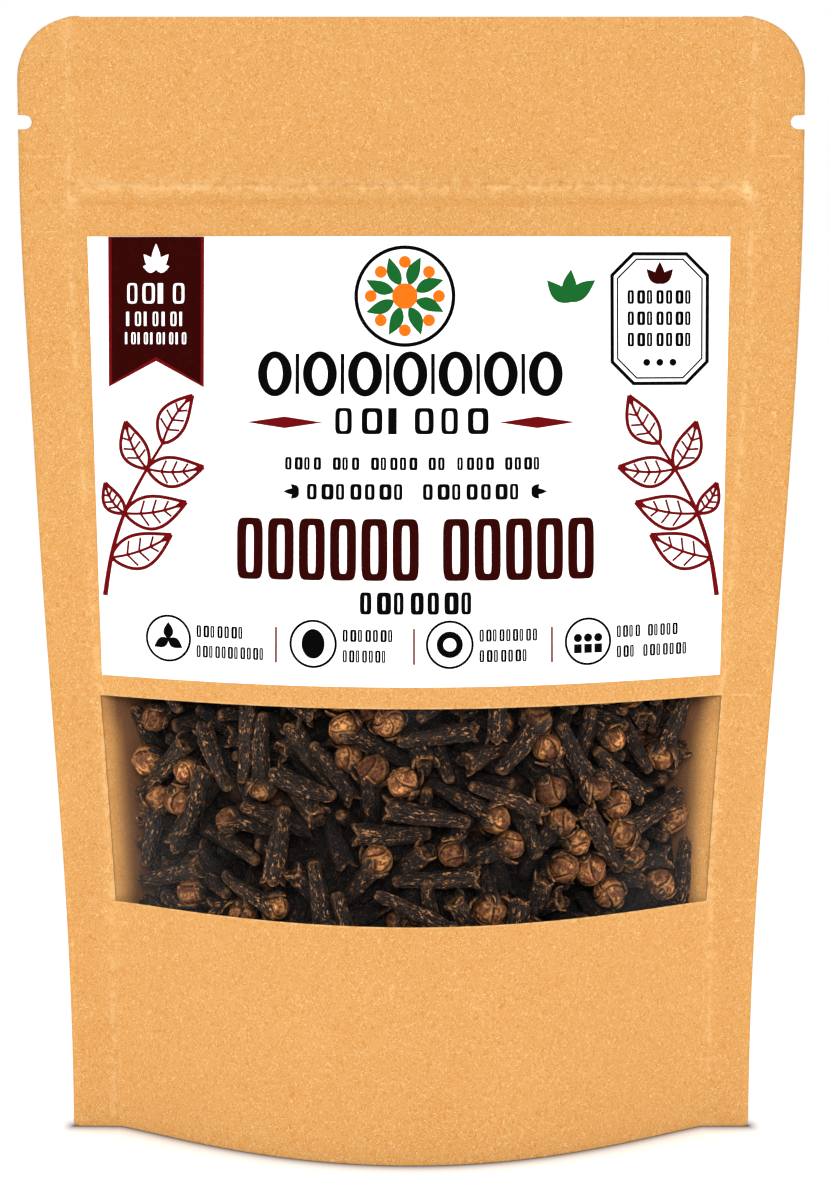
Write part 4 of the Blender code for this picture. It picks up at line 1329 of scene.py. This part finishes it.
@dataclass(frozen=True)
class HeapRule:
    """How the cloves lie: drawn at random, then pushed apart until they only touch."""

    form: PouchForm
    wall: float = 0.5 * MM
    film: float = 0.3 * MM
    gap: float = 0.3 * MM
    side_slant: float = 1.2
    half_width: float = 45 * MM
    low: float = 31 * MM
    high: float = 81 * MM
    thickness: float = 12 * MM
    count: int = 250
    stem_length: tuple[float, float] = (10.5 * MM, 14 * MM)
    stem_radius: tuple[float, float] = (1.4 * MM, 1.8 * MM)
    bud_girth: tuple[float, float] = (1.5, 1.66)
    lobe_girth: float = 1.35
    bud_share: float = 0.4
    stem_lean: float = 0.38
    bud_lean: float = 0.55
    facing_share: float = 0.6
    seed: int = 7
    steps: int = 220
    pressed_steps: int = 150
    press: float = 0.05 * MM
    firm_push: float = 0.75
    soft_push: float = 0.45
    contact_share: float = 0.35
    near_margin: float = 1 * MM
    slope_step: float = 0.5 * MM
    least_cross: float = 1e-14
    least_distance: float = 1e-7

    @property
    def clearance(self) -> float:
        """How far inside the front panel the heap may reach."""
        return self.wall + self.film + 3 * self.gap

    def front_room(self, x: np.ndarray, z: np.ndarray) -> np.ndarray:
        """How far forward of the seal plane the heap may reach."""
        return self.form.depth(x, z) - self.clearance

    def slanted(self, x: np.ndarray, z: np.ndarray, radius: np.ndarray) -> np.ndarray:
        """A radius along y from a panel that slopes: radius times sqrt(1 + slope^2)."""
        rise = self.form.depth(x + self.slope_step, z) - self.form.depth(x - self.slope_step, z)
        return radius * np.hypot(1, rise / (2 * self.slope_step))

    def front(self, x: np.ndarray, z: np.ndarray, radius: np.ndarray) -> np.ndarray:
        """Where the middle of a ball lies when it touches the film."""
        return self.slanted(x, z, radius) - self.front_room(x, z)

    def back(self, x: np.ndarray, z: np.ndarray, radius: np.ndarray) -> np.ndarray:
        """Where it touches the back panel, or the depth that the heap is settled to."""
        panel = self.form.depth(x, z) - self.wall - 3 * self.gap
        settled = self.front(x, z, radius) + self.thickness
        return np.minimum(settled, panel - self.slanted(x, z, radius))

    def drawn(self) -> dict[str, np.ndarray]:
        """Loose cloves behind the window, each a stick from its tip to its head."""
        rng = np.random.default_rng(self.seed)
        length = rng.uniform(*self.stem_length, self.count)
        stem = rng.uniform(*self.stem_radius, self.count)
        has_bud = rng.random(self.count) < self.bud_share
        girth = np.where(has_bud, rng.uniform(*self.bud_girth, self.count), self.lobe_girth)
        x = rng.uniform(-self.half_width, self.half_width, self.count)
        z = rng.uniform(self.low, self.high, self.count)
        y = self.front(x, z, stem) + rng.uniform(0, self.thickness, self.count)
        turn = rng.uniform(0, 2 * np.pi, self.count)
        lean = rng.normal(0, self.stem_lean, self.count)
        lean -= self.bud_lean * (has_bud & (rng.random(self.count) < self.facing_share))
        axis = [np.cos(turn) * np.cos(lean), np.sin(lean), np.sin(turn) * np.cos(lean)]
        reach = np.stack(axis, axis=1) * length[:, None] / 2
        middle = np.stack([x, y, z], axis=1)
        return {
            "tip": middle - reach, "head": middle + reach, "length": length, "stem": stem,
            "crown": stem * girth, "has_bud": has_bud,
        }

    def closest_shares(self, a0: np.ndarray, a1: np.ndarray, low_a: float, b0: np.ndarray,
                       b1: np.ndarray, low_b: float) -> tuple[np.ndarray, np.ndarray]:
        """Shares, from low to 1, along two sets of sticks at which they come closest."""
        u, v, w = a1 - a0, b1 - b0, a0 - b0
        uu, uv, vv = (u * u).sum(1), (u * v).sum(1), (v * v).sum(1)
        uw, vw = (u * w).sum(1), (v * w).sum(1)
        crossed = np.maximum(uu * vv - uv * uv, self.least_cross)
        share_a = np.clip((uv * vw - vv * uw) / crossed, low_a, 1)
        share_b = np.clip((uv * share_a + vw) / vv, low_b, 1)
        share_a = np.clip((uv * share_b - uw) / uu, low_a, 1)
        return share_a, share_b

    def moves(self, cloves: dict[str, np.ndarray], first: np.ndarray, second: np.ndarray,
              easing: float) -> tuple[np.ndarray, np.ndarray]:
        """Moves of tips and heads that push apart the pairs closer than their thickness."""
        tip, head = cloves["tip"], cloves["head"]
        tip_move, head_move = np.zeros_like(tip), np.zeros_like(head)
        hits = np.ones(len(tip))
        ways = ((0, "stem"), (1, "crown"))
        for (low_a, girth_a), (low_b, girth_b) in itertools.product(ways, ways):
            share_a, share_b = self.closest_shares(
                tip[first], head[first], low_a, tip[second], head[second], low_b
            )
            on_a = tip[first] + (head[first] - tip[first]) * share_a[:, None]
            on_b = tip[second] + (head[second] - tip[second]) * share_b[:, None]
            apart = on_a - on_b
            distance = np.maximum(np.linalg.norm(apart, axis=1), self.least_distance)
            overlap = np.maximum(cloves[girth_a][first] + cloves[girth_b][second] - distance, 0)
            push = apart * (overlap * easing / distance)[:, None]
            meets = overlap > 0
            for clove, share, move in ((first, share_a, push), (second, share_b, -push)):
                np.add.at(tip_move, clove[meets], move[meets] * (1 - share[meets, None]))
                np.add.at(head_move, clove[meets], move[meets] * share[meets, None])
                np.add.at(hits, clove[meets], self.contact_share)
        return tip_move / hits[:, None], head_move / hits[:, None]

    def hold(self, cloves: dict[str, np.ndarray]) -> None:
        """Keeps each tip and head between the film and the heap's back, and each length."""
        for end, girth in (("tip", "stem"), ("head", "crown")):
            point = cloves[end]
            point[:, 2] = np.clip(point[:, 2], self.low, self.high)
            half = self.form.inset_half(
                point[:, 2], self.clearance + self.side_slant * cloves[girth]
            )
            point[:, 0] = np.clip(point[:, 0], -half, half)
            front = self.front(point[:, 0], point[:, 2], cloves[girth])
            back = self.back(point[:, 0], point[:, 2], cloves[girth])
            point[:, 1] = np.maximum(np.minimum(point[:, 1], back), front)
        span = cloves["head"] - cloves["tip"]
        middle = (cloves["head"] + cloves["tip"]) / 2
        reach = span * (cloves["length"] / np.linalg.norm(span, axis=1))[:, None] / 2
        cloves["tip"], cloves["head"] = middle - reach, middle + reach

    def settled(self) -> dict[str, np.ndarray]:
        """The cloves pressed against the film and pushed apart step by step."""
        cloves = self.drawn()
        first, second = np.triu_indices(self.count, 1)
        for step in range(self.steps):
            middle = (cloves["tip"] + cloves["head"]) / 2
            reach = (cloves["length"] / 2 + cloves["crown"]) + self.near_margin / 2
            between = np.linalg.norm(middle[first] - middle[second], axis=1)
            near = between < reach[first] + reach[second]
            easing = self.firm_push if step < self.pressed_steps else self.soft_push
            tip_move, head_move = self.moves(cloves, first[near], second[near], easing)
            cloves["tip"] += tip_move
            cloves["head"] += head_move
            if step < self.pressed_steps:
                cloves["tip"][:, 1] -= self.press
                cloves["head"][:, 1] -= self.press
            self.hold(cloves)
        return cloves


def lifted(cloves: dict[str, np.ndarray], axes: int, *names: str) -> list[np.ndarray]:
    """Values of the cloves by name, with axes of length one put in behind the first."""
    return [cloves[name][(slice(None),) + (None,) * axes] for name in names]


@dataclass(frozen=True)
class CloveHeap:
    """The cloves behind the window: stems, lobes and buds, over an uneven core painted dark with
    shade.
    """

    rule: HeapRule
    near_depth: float = 5.0 * MM
    near_cells: tuple[int, int] = (22, 24)
    far_cells: tuple[int, int] = (10, 12)
    lobe_cells: tuple[int, int] = (9, 10)
    bud_rings: int = 20
    core_cells: tuple[int, int] = (46, 120)
    bend: float = 0.45 * MM
    most_bend: float = 0.9 * MM
    film_gap: float = 0.32 * MM
    fill_height: float = 92 * MM
    core_setback: float = 9.5 * MM
    core_half: float = 43 * MM
    core_foot: float = 8 * MM
    core_inset: float = 5.5 * MM
    darkest: float = 0.92
    dark_depths: tuple[float, float] = (1.2 * MM, 7.5 * MM)
    tip_places: tuple[float, ...] = (0.004, 0.018, 0.042, 0.075)
    head_profile: tuple[tuple[float, float], ...] = (
        (0.995, 0.93), (1.0, 0.78), (0.985, 0.52), (0.972, 0.30),
    )
    stem_waves: tuple[tuple[int, float], ...] = (
        (3, 0.026), (5, 0.034), (7, 0.040), (9, 0.044), (11, 0.040),
    )
    knot: float = 0.030
    stem_rough: float = 0.016
    squareness: float = 0.050
    lobe_swing: tuple[float, float] = (32, 108)
    petal_places: tuple[float, ...] = (
        0, 0.05, 0.11, 0.20, 0.34, 0.62, 0.94, 1.24, 1.42, 1.52,
    )
    seed: int = 11

    def frames(self, cloves: dict[str, np.ndarray],
               rng: np.random.Generator) -> dict[str, np.ndarray]:
        """Adds each clove's axis, the two directions across it, and its own tint and place.

        The second direction lies in the window's plane, so that a bent stem doesn't lean
        into the film. Its roll turns the four sides of the stem and its lobes.
        """
        axis = unit(cloves["head"] - cloves["tip"])
        side = unit(np.cross(axis, np.array([0.0, 1.0, 0.0])))
        cloves["axis"], cloves["side"] = axis, side
        cloves["other"] = np.cross(axis, side)
        cloves["roll"] = rng.uniform(0, 2 * np.pi, len(axis))
        cloves["tint"] = rng.uniform(0, 1, len(axis))
        cloves["shift"] = rng.uniform(-1, 1, (len(axis), 3))
        cloves["bow"] = rng.normal(0, self.bend, len(axis)).clip(-self.most_bend, self.most_bend)
        return cloves

    def placed(self, cloves: dict[str, np.ndarray], across: np.ndarray, other: np.ndarray,
               along: np.ndarray) -> np.ndarray:
        """Points from distances across, across the other way and along from the tip."""
        tip, first, second, axis = lifted(cloves, along.ndim - 1, "tip", "side", "other", "axis")
        return (
            tip + across[..., None] * first + other[..., None] * second
            + along[..., None] * axis
        )

    def behind_film(self, points: np.ndarray) -> np.ndarray:
        """Points held behind the film."""
        room = self.rule.form.depth(points[..., 0], points[..., 2])
        limit = -(room - self.rule.form.wall - self.film_gap)
        points[..., 1] = np.maximum(points[..., 1], limit)
        return points

    def depth_shade(self, points: np.ndarray) -> np.ndarray:
        """Painted shade for a point's depth behind the film: 0 near it, up to darkest at the core.
        """
        depth = points[..., 1] + self.rule.form.depth(points[..., 0], points[..., 2])
        return self.darkest * smooth_step(depth, *self.dark_depths)

    def stem_profile(self, rings: int) -> tuple[np.ndarray, np.ndarray]:
        """Places along a stem, from 0 at its tip to 1 at its head, and its radius at each.

        The radius grows from the tip as a smooth step and swells a little below the head.
        It ends round at the tip, and turns in to a shallow dish at the head.
        """
        u = np.append(self.tip_places, np.linspace(0.12, 0.97, rings - len(self.tip_places)))
        radius = 0.68 + 0.32 * smooth_step(u, 0.05, 0.72) + 0.06 * ridge(u - 0.86, 0.08)
        radius = radius * np.sqrt(1 - np.clip(1 - u / 0.085, 0, 1) ** 2 * 0.93)
        head_u, head_radius = np.array(self.head_profile).T
        return np.append(u, head_u), np.append(radius, head_radius)

    def wrinkles(self, theta: np.ndarray, along: np.ndarray,
                 rng: np.random.Generator) -> np.ndarray:
        """Waves round the stems: a sum of sines whose phases wander along them.

        Waves too short for the points round a stem are left out.
        """
        one_each = (len(theta), 1, 1)
        waves = np.zeros(np.broadcast_shapes(theta.shape, along.shape))
        for lobes, size in self.stem_waves:
            if lobes * 2 >= theta.shape[-1]:
                break
            phase = rng.uniform(0, 2 * np.pi, one_each)
            drift = rng.uniform(1.5, 4.5, one_each)
            wander = rng.uniform(0.5, 1.6, one_each) * np.sin(drift * along * 2 + phase * 3)
            waves = waves + size * np.sin(lobes * theta + phase + wander)
        return waves

    def stems(self, cloves: dict[str, np.ndarray], cells: tuple[int, int],
              rng: np.random.Generator) -> Surface:
        """Wrinkled, slightly four-sided stems.

        The four sides are a cosine of four times the angle, and the wrinkles and knots
        fade out towards both ends.

        Args:
            cloves: the cloves.
            cells: rings along a stem, and points round it.
            rng: the source of the wrinkles.

        Returns:
            All stems.
        """
        u, radius = self.stem_profile(cells[0])
        angle = np.linspace(0, 2 * np.pi, cells[1], endpoint=False)
        stem, roll, bow, length = lifted(cloves, 2, "stem", "roll", "bow", "length")
        tint, shift = lifted(cloves, 2, "tint", "shift")
        along, theta = u[None, :, None], angle + roll
        waves = self.wrinkles(theta, along, rng)
        turns = rng.uniform(9, 17, roll.shape)
        knots = self.knot * np.sin(along * turns + theta + roll)
        rough = rng.normal(0, self.stem_rough, waves.shape)
        worn = smooth_step(along, 0.03, 0.15) * (1 - smooth_step(along, 0.95, 1.0))
        form = 1 + self.squareness * np.cos(4 * theta) + (waves + knots) * worn + rough
        size = stem * radius[None, :, None] * form
        across = size * np.cos(angle) + bow * 4 * along * (1 - along)
        height = np.broadcast_to(length * along, waves.shape)
        points = self.behind_film(self.placed(cloves, across, size * np.sin(angle), height))
        middle = np.zeros(len(stem))
        tip = self.placed(cloves, middle, middle, middle)
        top = self.placed(cloves, middle, middle, 0.97 * cloves["length"])
        spun = np.broadcast_arrays(stem * np.cos(angle), stem * np.sin(angle), height)
        ends = ridge(along - 0.995, 0.012) * 0.9 + ridge(along - 0.02, 0.02) * 0.55
        values = {
            "grain": np.stack(spun, axis=-1) + shift,
            "tint": np.broadcast_to(tint, waves.shape),
            "shade": self.depth_shade(points),
            "rim": np.broadcast_to(ends, waves.shape),
            "ridge": waves * worn * 10,
        }
        return Surface.tubes(points, values, tip, top)

    def lobe_lines(self, cloves: dict[str, np.ndarray], s: np.ndarray,
                   rng: np.random.Generator) -> tuple[np.ndarray, np.ndarray]:
        """How far out from the axis and up from the head each lobe's middle line lies.

        It is an arc that opens round the bud or, where the bud is lost, a short flare that
        bows out or curls in.
        """
        stem, crown, bud = lifted(cloves, 3, "stem", "crown", "has_bud")
        each = (len(stem), QUARTERS, 1, 1)
        spread, reach = rng.uniform(0.10, 0.62, each), rng.uniform(0.74, 1.06, each)
        curl = rng.uniform(-0.5, 0.9, each)
        shut, opened = self.lobe_swing
        swing = np.radians(shut + (opened - shut) * s * reach)
        bulb = crown * (1.03 + spread * s**1.5 * 0.8)
        bow = curl * 0.25 * np.sin(np.pi * s) - 0.35 * np.clip(-curl, 0, 1) * s**2
        bare_out = stem * (0.62 + 0.62 * s + bow)
        bare_up = stem * (-0.55 + (1.45 * s - 0.25 * s * s) * reach)
        return (
            np.where(bud, bulb * np.sin(swing), bare_out),
            np.where(bud, -bulb * np.cos(swing), bare_up),
        )

    def lobes(self, cloves: dict[str, np.ndarray], rng: np.random.Generator) -> Surface:
        """Four thick lobes round each head.

        Each is a flattened tube along its middle line. With s the share along it, its half
        width is sin(pi (0.24 + 0.76 s))^0.7, and it is spooned towards the head.
        """
        rings, around = self.lobe_cells
        s = np.linspace(0, 1, rings)[None, None, :, None]
        phi = np.linspace(0, 2 * np.pi, around, endpoint=False)
        stem, bud, roll, length = lifted(cloves, 3, "stem", "has_bud", "roll", "length")
        tint, shift = lifted(cloves, 3, "tint", "shift")
        shape = (len(stem), QUARTERS, rings, around)
        tall = (len(stem) * QUARTERS, rings, around)
        out, up = self.lobe_lines(cloves, s, rng)
        slope_out, slope_up = np.gradient(out, axis=2), np.gradient(up, axis=2)
        slope = np.hypot(slope_out, slope_up) + TINY
        half = np.where(bud, 0.80, 0.66) * stem * np.sin(np.pi * (0.24 + 0.76 * s)) ** 0.7
        thick = 0.30 * stem * (1 - 0.45 * s) * (0.35 + 0.65 * np.sin(np.pi * (0.12 + 0.86 * s)))
        wide = half * np.cos(phi)
        rough = 1 + rng.normal(0, 0.05, shape)
        proud = thick * np.sin(phi) * rough - 0.30 * wide**2 / stem
        out = out + slope_up / slope * proud
        up = up - slope_out / slope * proud
        number = np.arange(QUARTERS)[None, :, None, None]
        turn = number * np.pi / 2 - roll + rng.normal(0, 0.12, (*shape[:2], 1, 1))
        across = out * np.cos(turn) - wide * np.sin(turn)
        other = out * np.sin(turn) + wide * np.cos(turn)
        placed = self.placed(cloves, *np.broadcast_arrays(across, other, length + up))
        points = self.behind_film(placed).reshape(*tall, 3)
        edge = 0.9 * np.abs(np.cos(phi)) ** 6 * smooth_step(s, 0.2, 0.6)
        edge = np.maximum(edge, smooth_step(s, 0.86, 1.0))
        grain = np.stack(np.broadcast_arrays(wide, proud, s * 3 * MM), axis=-1) + shift
        grain = grain + number[..., None] * 7 * MM
        values = {
            "grain": grain.reshape(*tall, 3),
            "tint": np.broadcast_to(tint, shape).reshape(tall),
            "shade": self.depth_shade(points),
            "rim": np.broadcast_to(edge, shape).reshape(tall),
            "ridge": np.zeros(tall),
        }
        return Surface.tubes(points, values)

    def buds(self, cloves: dict[str, np.ndarray], rng: np.random.Generator) -> Surface:
        """Round buds of four petals folded over each other.

        The grid's columns follow the petals, which twist round with the angle from the
        top. Each petal is proud at the edge that lies over its neighbour and sinks towards
        the edge that is tucked under, and a narrow bell cuts the seam between them.
        """
        crown, roll, length = lifted(cloves, 2, "crown", "roll", "length")
        tint, shift = lifted(cloves, 2, "tint", "shift")
        rings, count = self.bud_rings, len(crown)
        polar = np.linspace(0.985 * np.pi, 0.03 * np.pi, rings)[None, :, None]
        quarter = np.array(self.petal_places)
        past = np.tile(quarter, QUARTERS)[None, None, :]
        petal = np.repeat(np.arange(QUARTERS), len(quarter))[None, None, :]
        theta = past + petal * np.pi / 2
        twist = rng.uniform(0.3, 0.8, roll.shape) * rng.choice([-1, 1], roll.shape)
        angle = theta - roll - twist * (polar - 1.2)
        open_top = 1 - smooth_step(polar, 1.3, 2.0)
        tucked = np.where(past > 0.8, np.pi / 2 - past, past)
        seam = ridge(tucked, 0.075) * open_top
        # The lip takes a painted gold highlight along each petal's raised edge.
        lip = ridge(past - 0.20, 0.09) * open_top
        lay = (1 - past / (np.pi / 2)) * open_top
        bumps = rng.normal(0, 0.022, (count, 1, QUARTERS)).repeat(len(quarter), axis=2)
        dent = rng.normal(0, 0.008, (count, rings, theta.shape[2]))
        lumps = 0.030 * np.sin(3 * angle + 5 * polar + roll)
        size = 1 - 0.085 * seam + 0.040 * lay + 0.012 * lip
        size = size + bumps * np.sin(2 * past) + dent + lumps
        squash = 1 - 0.05 * np.cos(polar) ** 2
        radius = crown * 0.965 * size * squash
        flat, rise = radius * np.sin(polar), radius * np.cos(polar)
        across, other = flat * np.cos(angle), flat * np.sin(angle)
        points = self.behind_film(self.placed(cloves, across, other, length + rise))
        # Painted shade, darker towards each bud's underside; some buds are darker at random by
        # their tint.
        under = 0.75 * smooth_step(polar, 1.05, 2.0)
        under = np.maximum(under, 0.55 * (1 - tint) ** 2)
        grain = np.stack([across, other, rise], axis=-1) + (shift + petal[..., None] * 3 * MM)
        values = {
            "grain": grain,
            "tint": np.broadcast_to(0.55 + 0.45 * tint, size.shape),
            "seam": np.broadcast_to(seam, size.shape),
            "fold": np.broadcast_to(0.55 * lip, size.shape),
            "shade": np.maximum(under, self.depth_shade(points)),
        }
        return Surface.tubes(points, values)

    def core(self, rng: np.random.Generator) -> Surface:
        """The mass behind the near cloves, painted dark with a fixed shade, one closed lumpy form.

        Rings run round the pouch's section at each height, set in from both panels.
        """
        rings, around = self.core_cells
        rule, form = self.rule, self.rule.form
        z = np.linspace(self.core_foot, self.fill_height, rings)[:, None]
        angle = np.linspace(0, 2 * np.pi, around, endpoint=False)[None, :]
        half = np.minimum(form.inset_half(z, self.core_inset), self.core_half)
        x = half * np.cos(angle) * np.minimum(1, 1.12 - 0.12 * np.cos(2 * angle))
        x = np.clip(x, -half, half)
        depth = form.depth(x, z)
        front = -np.maximum(depth - self.core_setback, -depth + 4 * MM)
        back = depth - rule.wall - 0.8 * MM
        middle, reach = (front + back) / 2, (back - front) / 2
        lumps = np.sin(x / (2.1 * MM) + 2 * np.sin(z / (3.3 * MM)))
        lumps = lumps + np.sin(z / (2.4 * MM) + 2 * np.sin(x / (2.9 * MM)))
        y = middle + reach * np.sin(angle) - 0.5 * MM * lumps * (np.sin(angle) < -0.1)
        y = y + rng.normal(0, 0.15 * MM, y.shape)
        points = np.stack([x, y, np.broadcast_to(z, x.shape)], axis=-1)[None]
        low = np.array([[0, 0, self.core_foot]])
        top = np.array([[0, 0, self.fill_height]])
        # A fixed painted shade of 0.9 darkens the whole core.
        plain = {"tint": 0.1, "shade": 0.9, "rim": 0.0, "ridge": 0.0}
        values = {"grain": points.copy()}
        values |= {name: np.full((1, *x.shape), value) for name, value in plain.items()}
        return Surface.tubes(points, values, low, top)

    def build(self) -> None:
        """Makes the heap's pieces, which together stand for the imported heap."""
        rng = np.random.default_rng(self.seed)
        cloves = self.frames(self.rule.settled(), rng)
        deep = [
            point[:, 1] + self.rule.front_room(point[:, 0], point[:, 2])
            for point in (cloves["tip"], cloves["head"])
        ]
        depth = np.minimum(*deep)
        near = depth < self.near_depth
        LOG.info("%d near cloves of %d", near.sum(), len(near))

        def chosen(which: np.ndarray) -> dict[str, np.ndarray]:
            """The cloves for which the test holds."""
            return {name: value[which] for name, value in cloves.items()}

        skin, bud = StemFinish().material(), BudFinish().material()
        pieces = {
            "clove_stems_near": (self.stems(chosen(near), self.near_cells, rng), skin),
            "clove_stems_deep": (self.stems(chosen(~near), self.far_cells, rng), skin),
            "clove_lobes": (self.lobes(cloves, rng), skin),
            "clove_buds": (self.buds(chosen(cloves["has_bud"]), rng), bud),
            "clove_core": (self.core(rng), skin),
        }
        for name, (surface, finish) in pieces.items():
            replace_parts(surface.piece(name, finish, "clove"), "cloves")


@dataclass(frozen=True)
class Studio:
    """A pale floor with a painted contact shadow round the pouch's foot, even soft light and the
    camera in front of the pouch.
    """

    form: PouchForm
    camera_at: tuple[float, float, float] = (0.0005, -0.5448, 0.1392)
    camera_tilt: float = 84.96
    lens: float = 99.67
    sensor_width: float = 36
    floor_reach: tuple[float, ...] = (0.1, 0.4, 1.5, 6.0)
    floor_fine: float = 30 * MM
    floor_cells: tuple[int, int] = (60, 40)
    floor_drop: float = 0.03 * MM
    foot_shade: float = 0.87
    foot_fade: float = 2.4 * MM
    corner_haste: float = 1.8
    ambient: float = 1.0
    key_size: float = 0.5
    key_watts: float = 22.0
    key_at: tuple[float, float, float] = (0.0, -1.50, 0.60)
    key_aim: tuple[float, float, float] = (0.0, 0.0, 0.07)
    side_size: tuple[float, float] = (0.12, 0.03)
    side_watts: float = 0.133
    side_at: tuple[float, float, float] = (0.20, -0.04, 0.01)
    side_aim: tuple[float, float, float] = (0.03, -0.01, 0.02)
    card_size: tuple[float, float] = (0.40, 0.02)
    card_watts: float = 0.060
    card_at: tuple[float, float, float] = (0.0, -0.16, 0.006)
    card_aim: tuple[float, float, float] = (0.0, -0.02, 0.03)

    def floor(self) -> None:
        """A wide level sheet just under the pouch, with the pouch's contact shadow painted on it.

        The shade goes all round the foot and is foot_shade times e to the power
        -(distance from the foot / foot_fade), where the distance past the foot's corners
        counts corner_haste times.
        """
        under, beyond = self.floor_cells
        edge = float(self.form.crease(0.0)) + self.form.side_seal
        reach = np.append(self.floor_fine * np.linspace(0, 1, beyond) ** 1.5, self.floor_reach)
        across = np.concatenate([np.linspace(0, edge, under), edge + reach[1:]])
        x = np.concatenate([-across[:0:-1], across])[None, :]
        away = np.concatenate([reach[::-1], reach])[:, None]
        side = np.repeat([-1, 1], len(reach))[:, None]
        y = side * (self.form.front(np.clip(x, -edge, edge), np.zeros_like(x)) + away)
        off = np.hypot(self.corner_haste * np.maximum(np.abs(x) - edge, 0), away)
        z = np.full(y.shape, -self.floor_drop)
        points = np.stack([np.broadcast_to(x, y.shape), y, z], axis=-1)
        sheet = NodeSheet("floor")
        colour = sheet.mix(sheet.kept("shaded"), (1, 1, 1, 1), (0, 0, 0, 1))
        sheet.set(base_color=colour, roughness=0.9, specular_ior_level=0.0)
        shade = {"shaded": self.foot_shade * np.exp(-off / self.foot_fade)}
        Surface.grid(points, shade).laid("floor", sheet.material, False)

    def light(self) -> None:
        """White surroundings, a soft key light, and low cards that even out the foot."""
        world = bpy.data.worlds.new("studio")
        world.use_nodes = True
        back = world.node_tree.nodes["Background"]
        back.inputs["Color"].default_value = (1, 1, 1, 1)
        back.inputs["Strength"].default_value = self.ambient
        bpy.context.scene.world = world
        self.lamp("key", (self.key_size, self.key_size), self.key_watts, self.key_at, self.key_aim)
        self.lamp("card", self.card_size, self.card_watts, self.card_at, self.card_aim)
        for name, side in (("left", -1), ("right", 1)):
            place, aim = ((side * x, y, z) for x, y, z in (self.side_at, self.side_aim))
            self.lamp(f"card_{name}", self.side_size, self.side_watts, place, aim)

    def lamp(self, name: str, size: tuple[float, float], watts: float,
             place: tuple[float, float, float], aim: tuple[float, float, float]) -> None:
        """An oval area light that looks from one place at another."""
        lamp = bpy.data.lights.new(name, "AREA")
        lamp.shape = "ELLIPSE"
        lamp.size, lamp.size_y = size
        lamp.energy = watts
        made = bpy.data.objects.new(name, lamp)
        made.location = place
        made.rotation_euler = (Vector(aim) - Vector(place)).to_track_quat("-Z", "Y").to_euler()
        bpy.context.scene.collection.objects.link(made)

    def camera(self) -> None:
        """The camera at the photograph's angle."""
        eye = bpy.data.cameras.new("camera")
        eye.lens = self.lens
        eye.sensor_width = self.sensor_width
        eye.clip_start, eye.clip_end = 0.01, 50
        made = bpy.data.objects.new("camera", eye)
        made.location = self.camera_at
        made.rotation_euler = (math.radians(self.camera_tilt), 0, 0)
        bpy.context.scene.collection.objects.link(made)
        bpy.context.scene.camera = made

    def build(self) -> None:
        """Sets the stage."""
        self.floor()
        self.light()
        self.camera()
        bpy.context.scene.view_settings.view_transform = "Standard"


def main() -> None:
    """Builds every sub-assembly in order."""
    logging.basicConfig(level=logging.INFO, format="%(name)s %(message)s")
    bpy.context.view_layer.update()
    form, window = PouchForm.from_frame(), Window()
    PouchSheets(form, window).build()
    WindowFilm(form, window).build()
    Label(form).build()
    CloveHeap(HeapRule(form)).build()
    Studio(form).build()


if __name__ == "__main__":
    main()
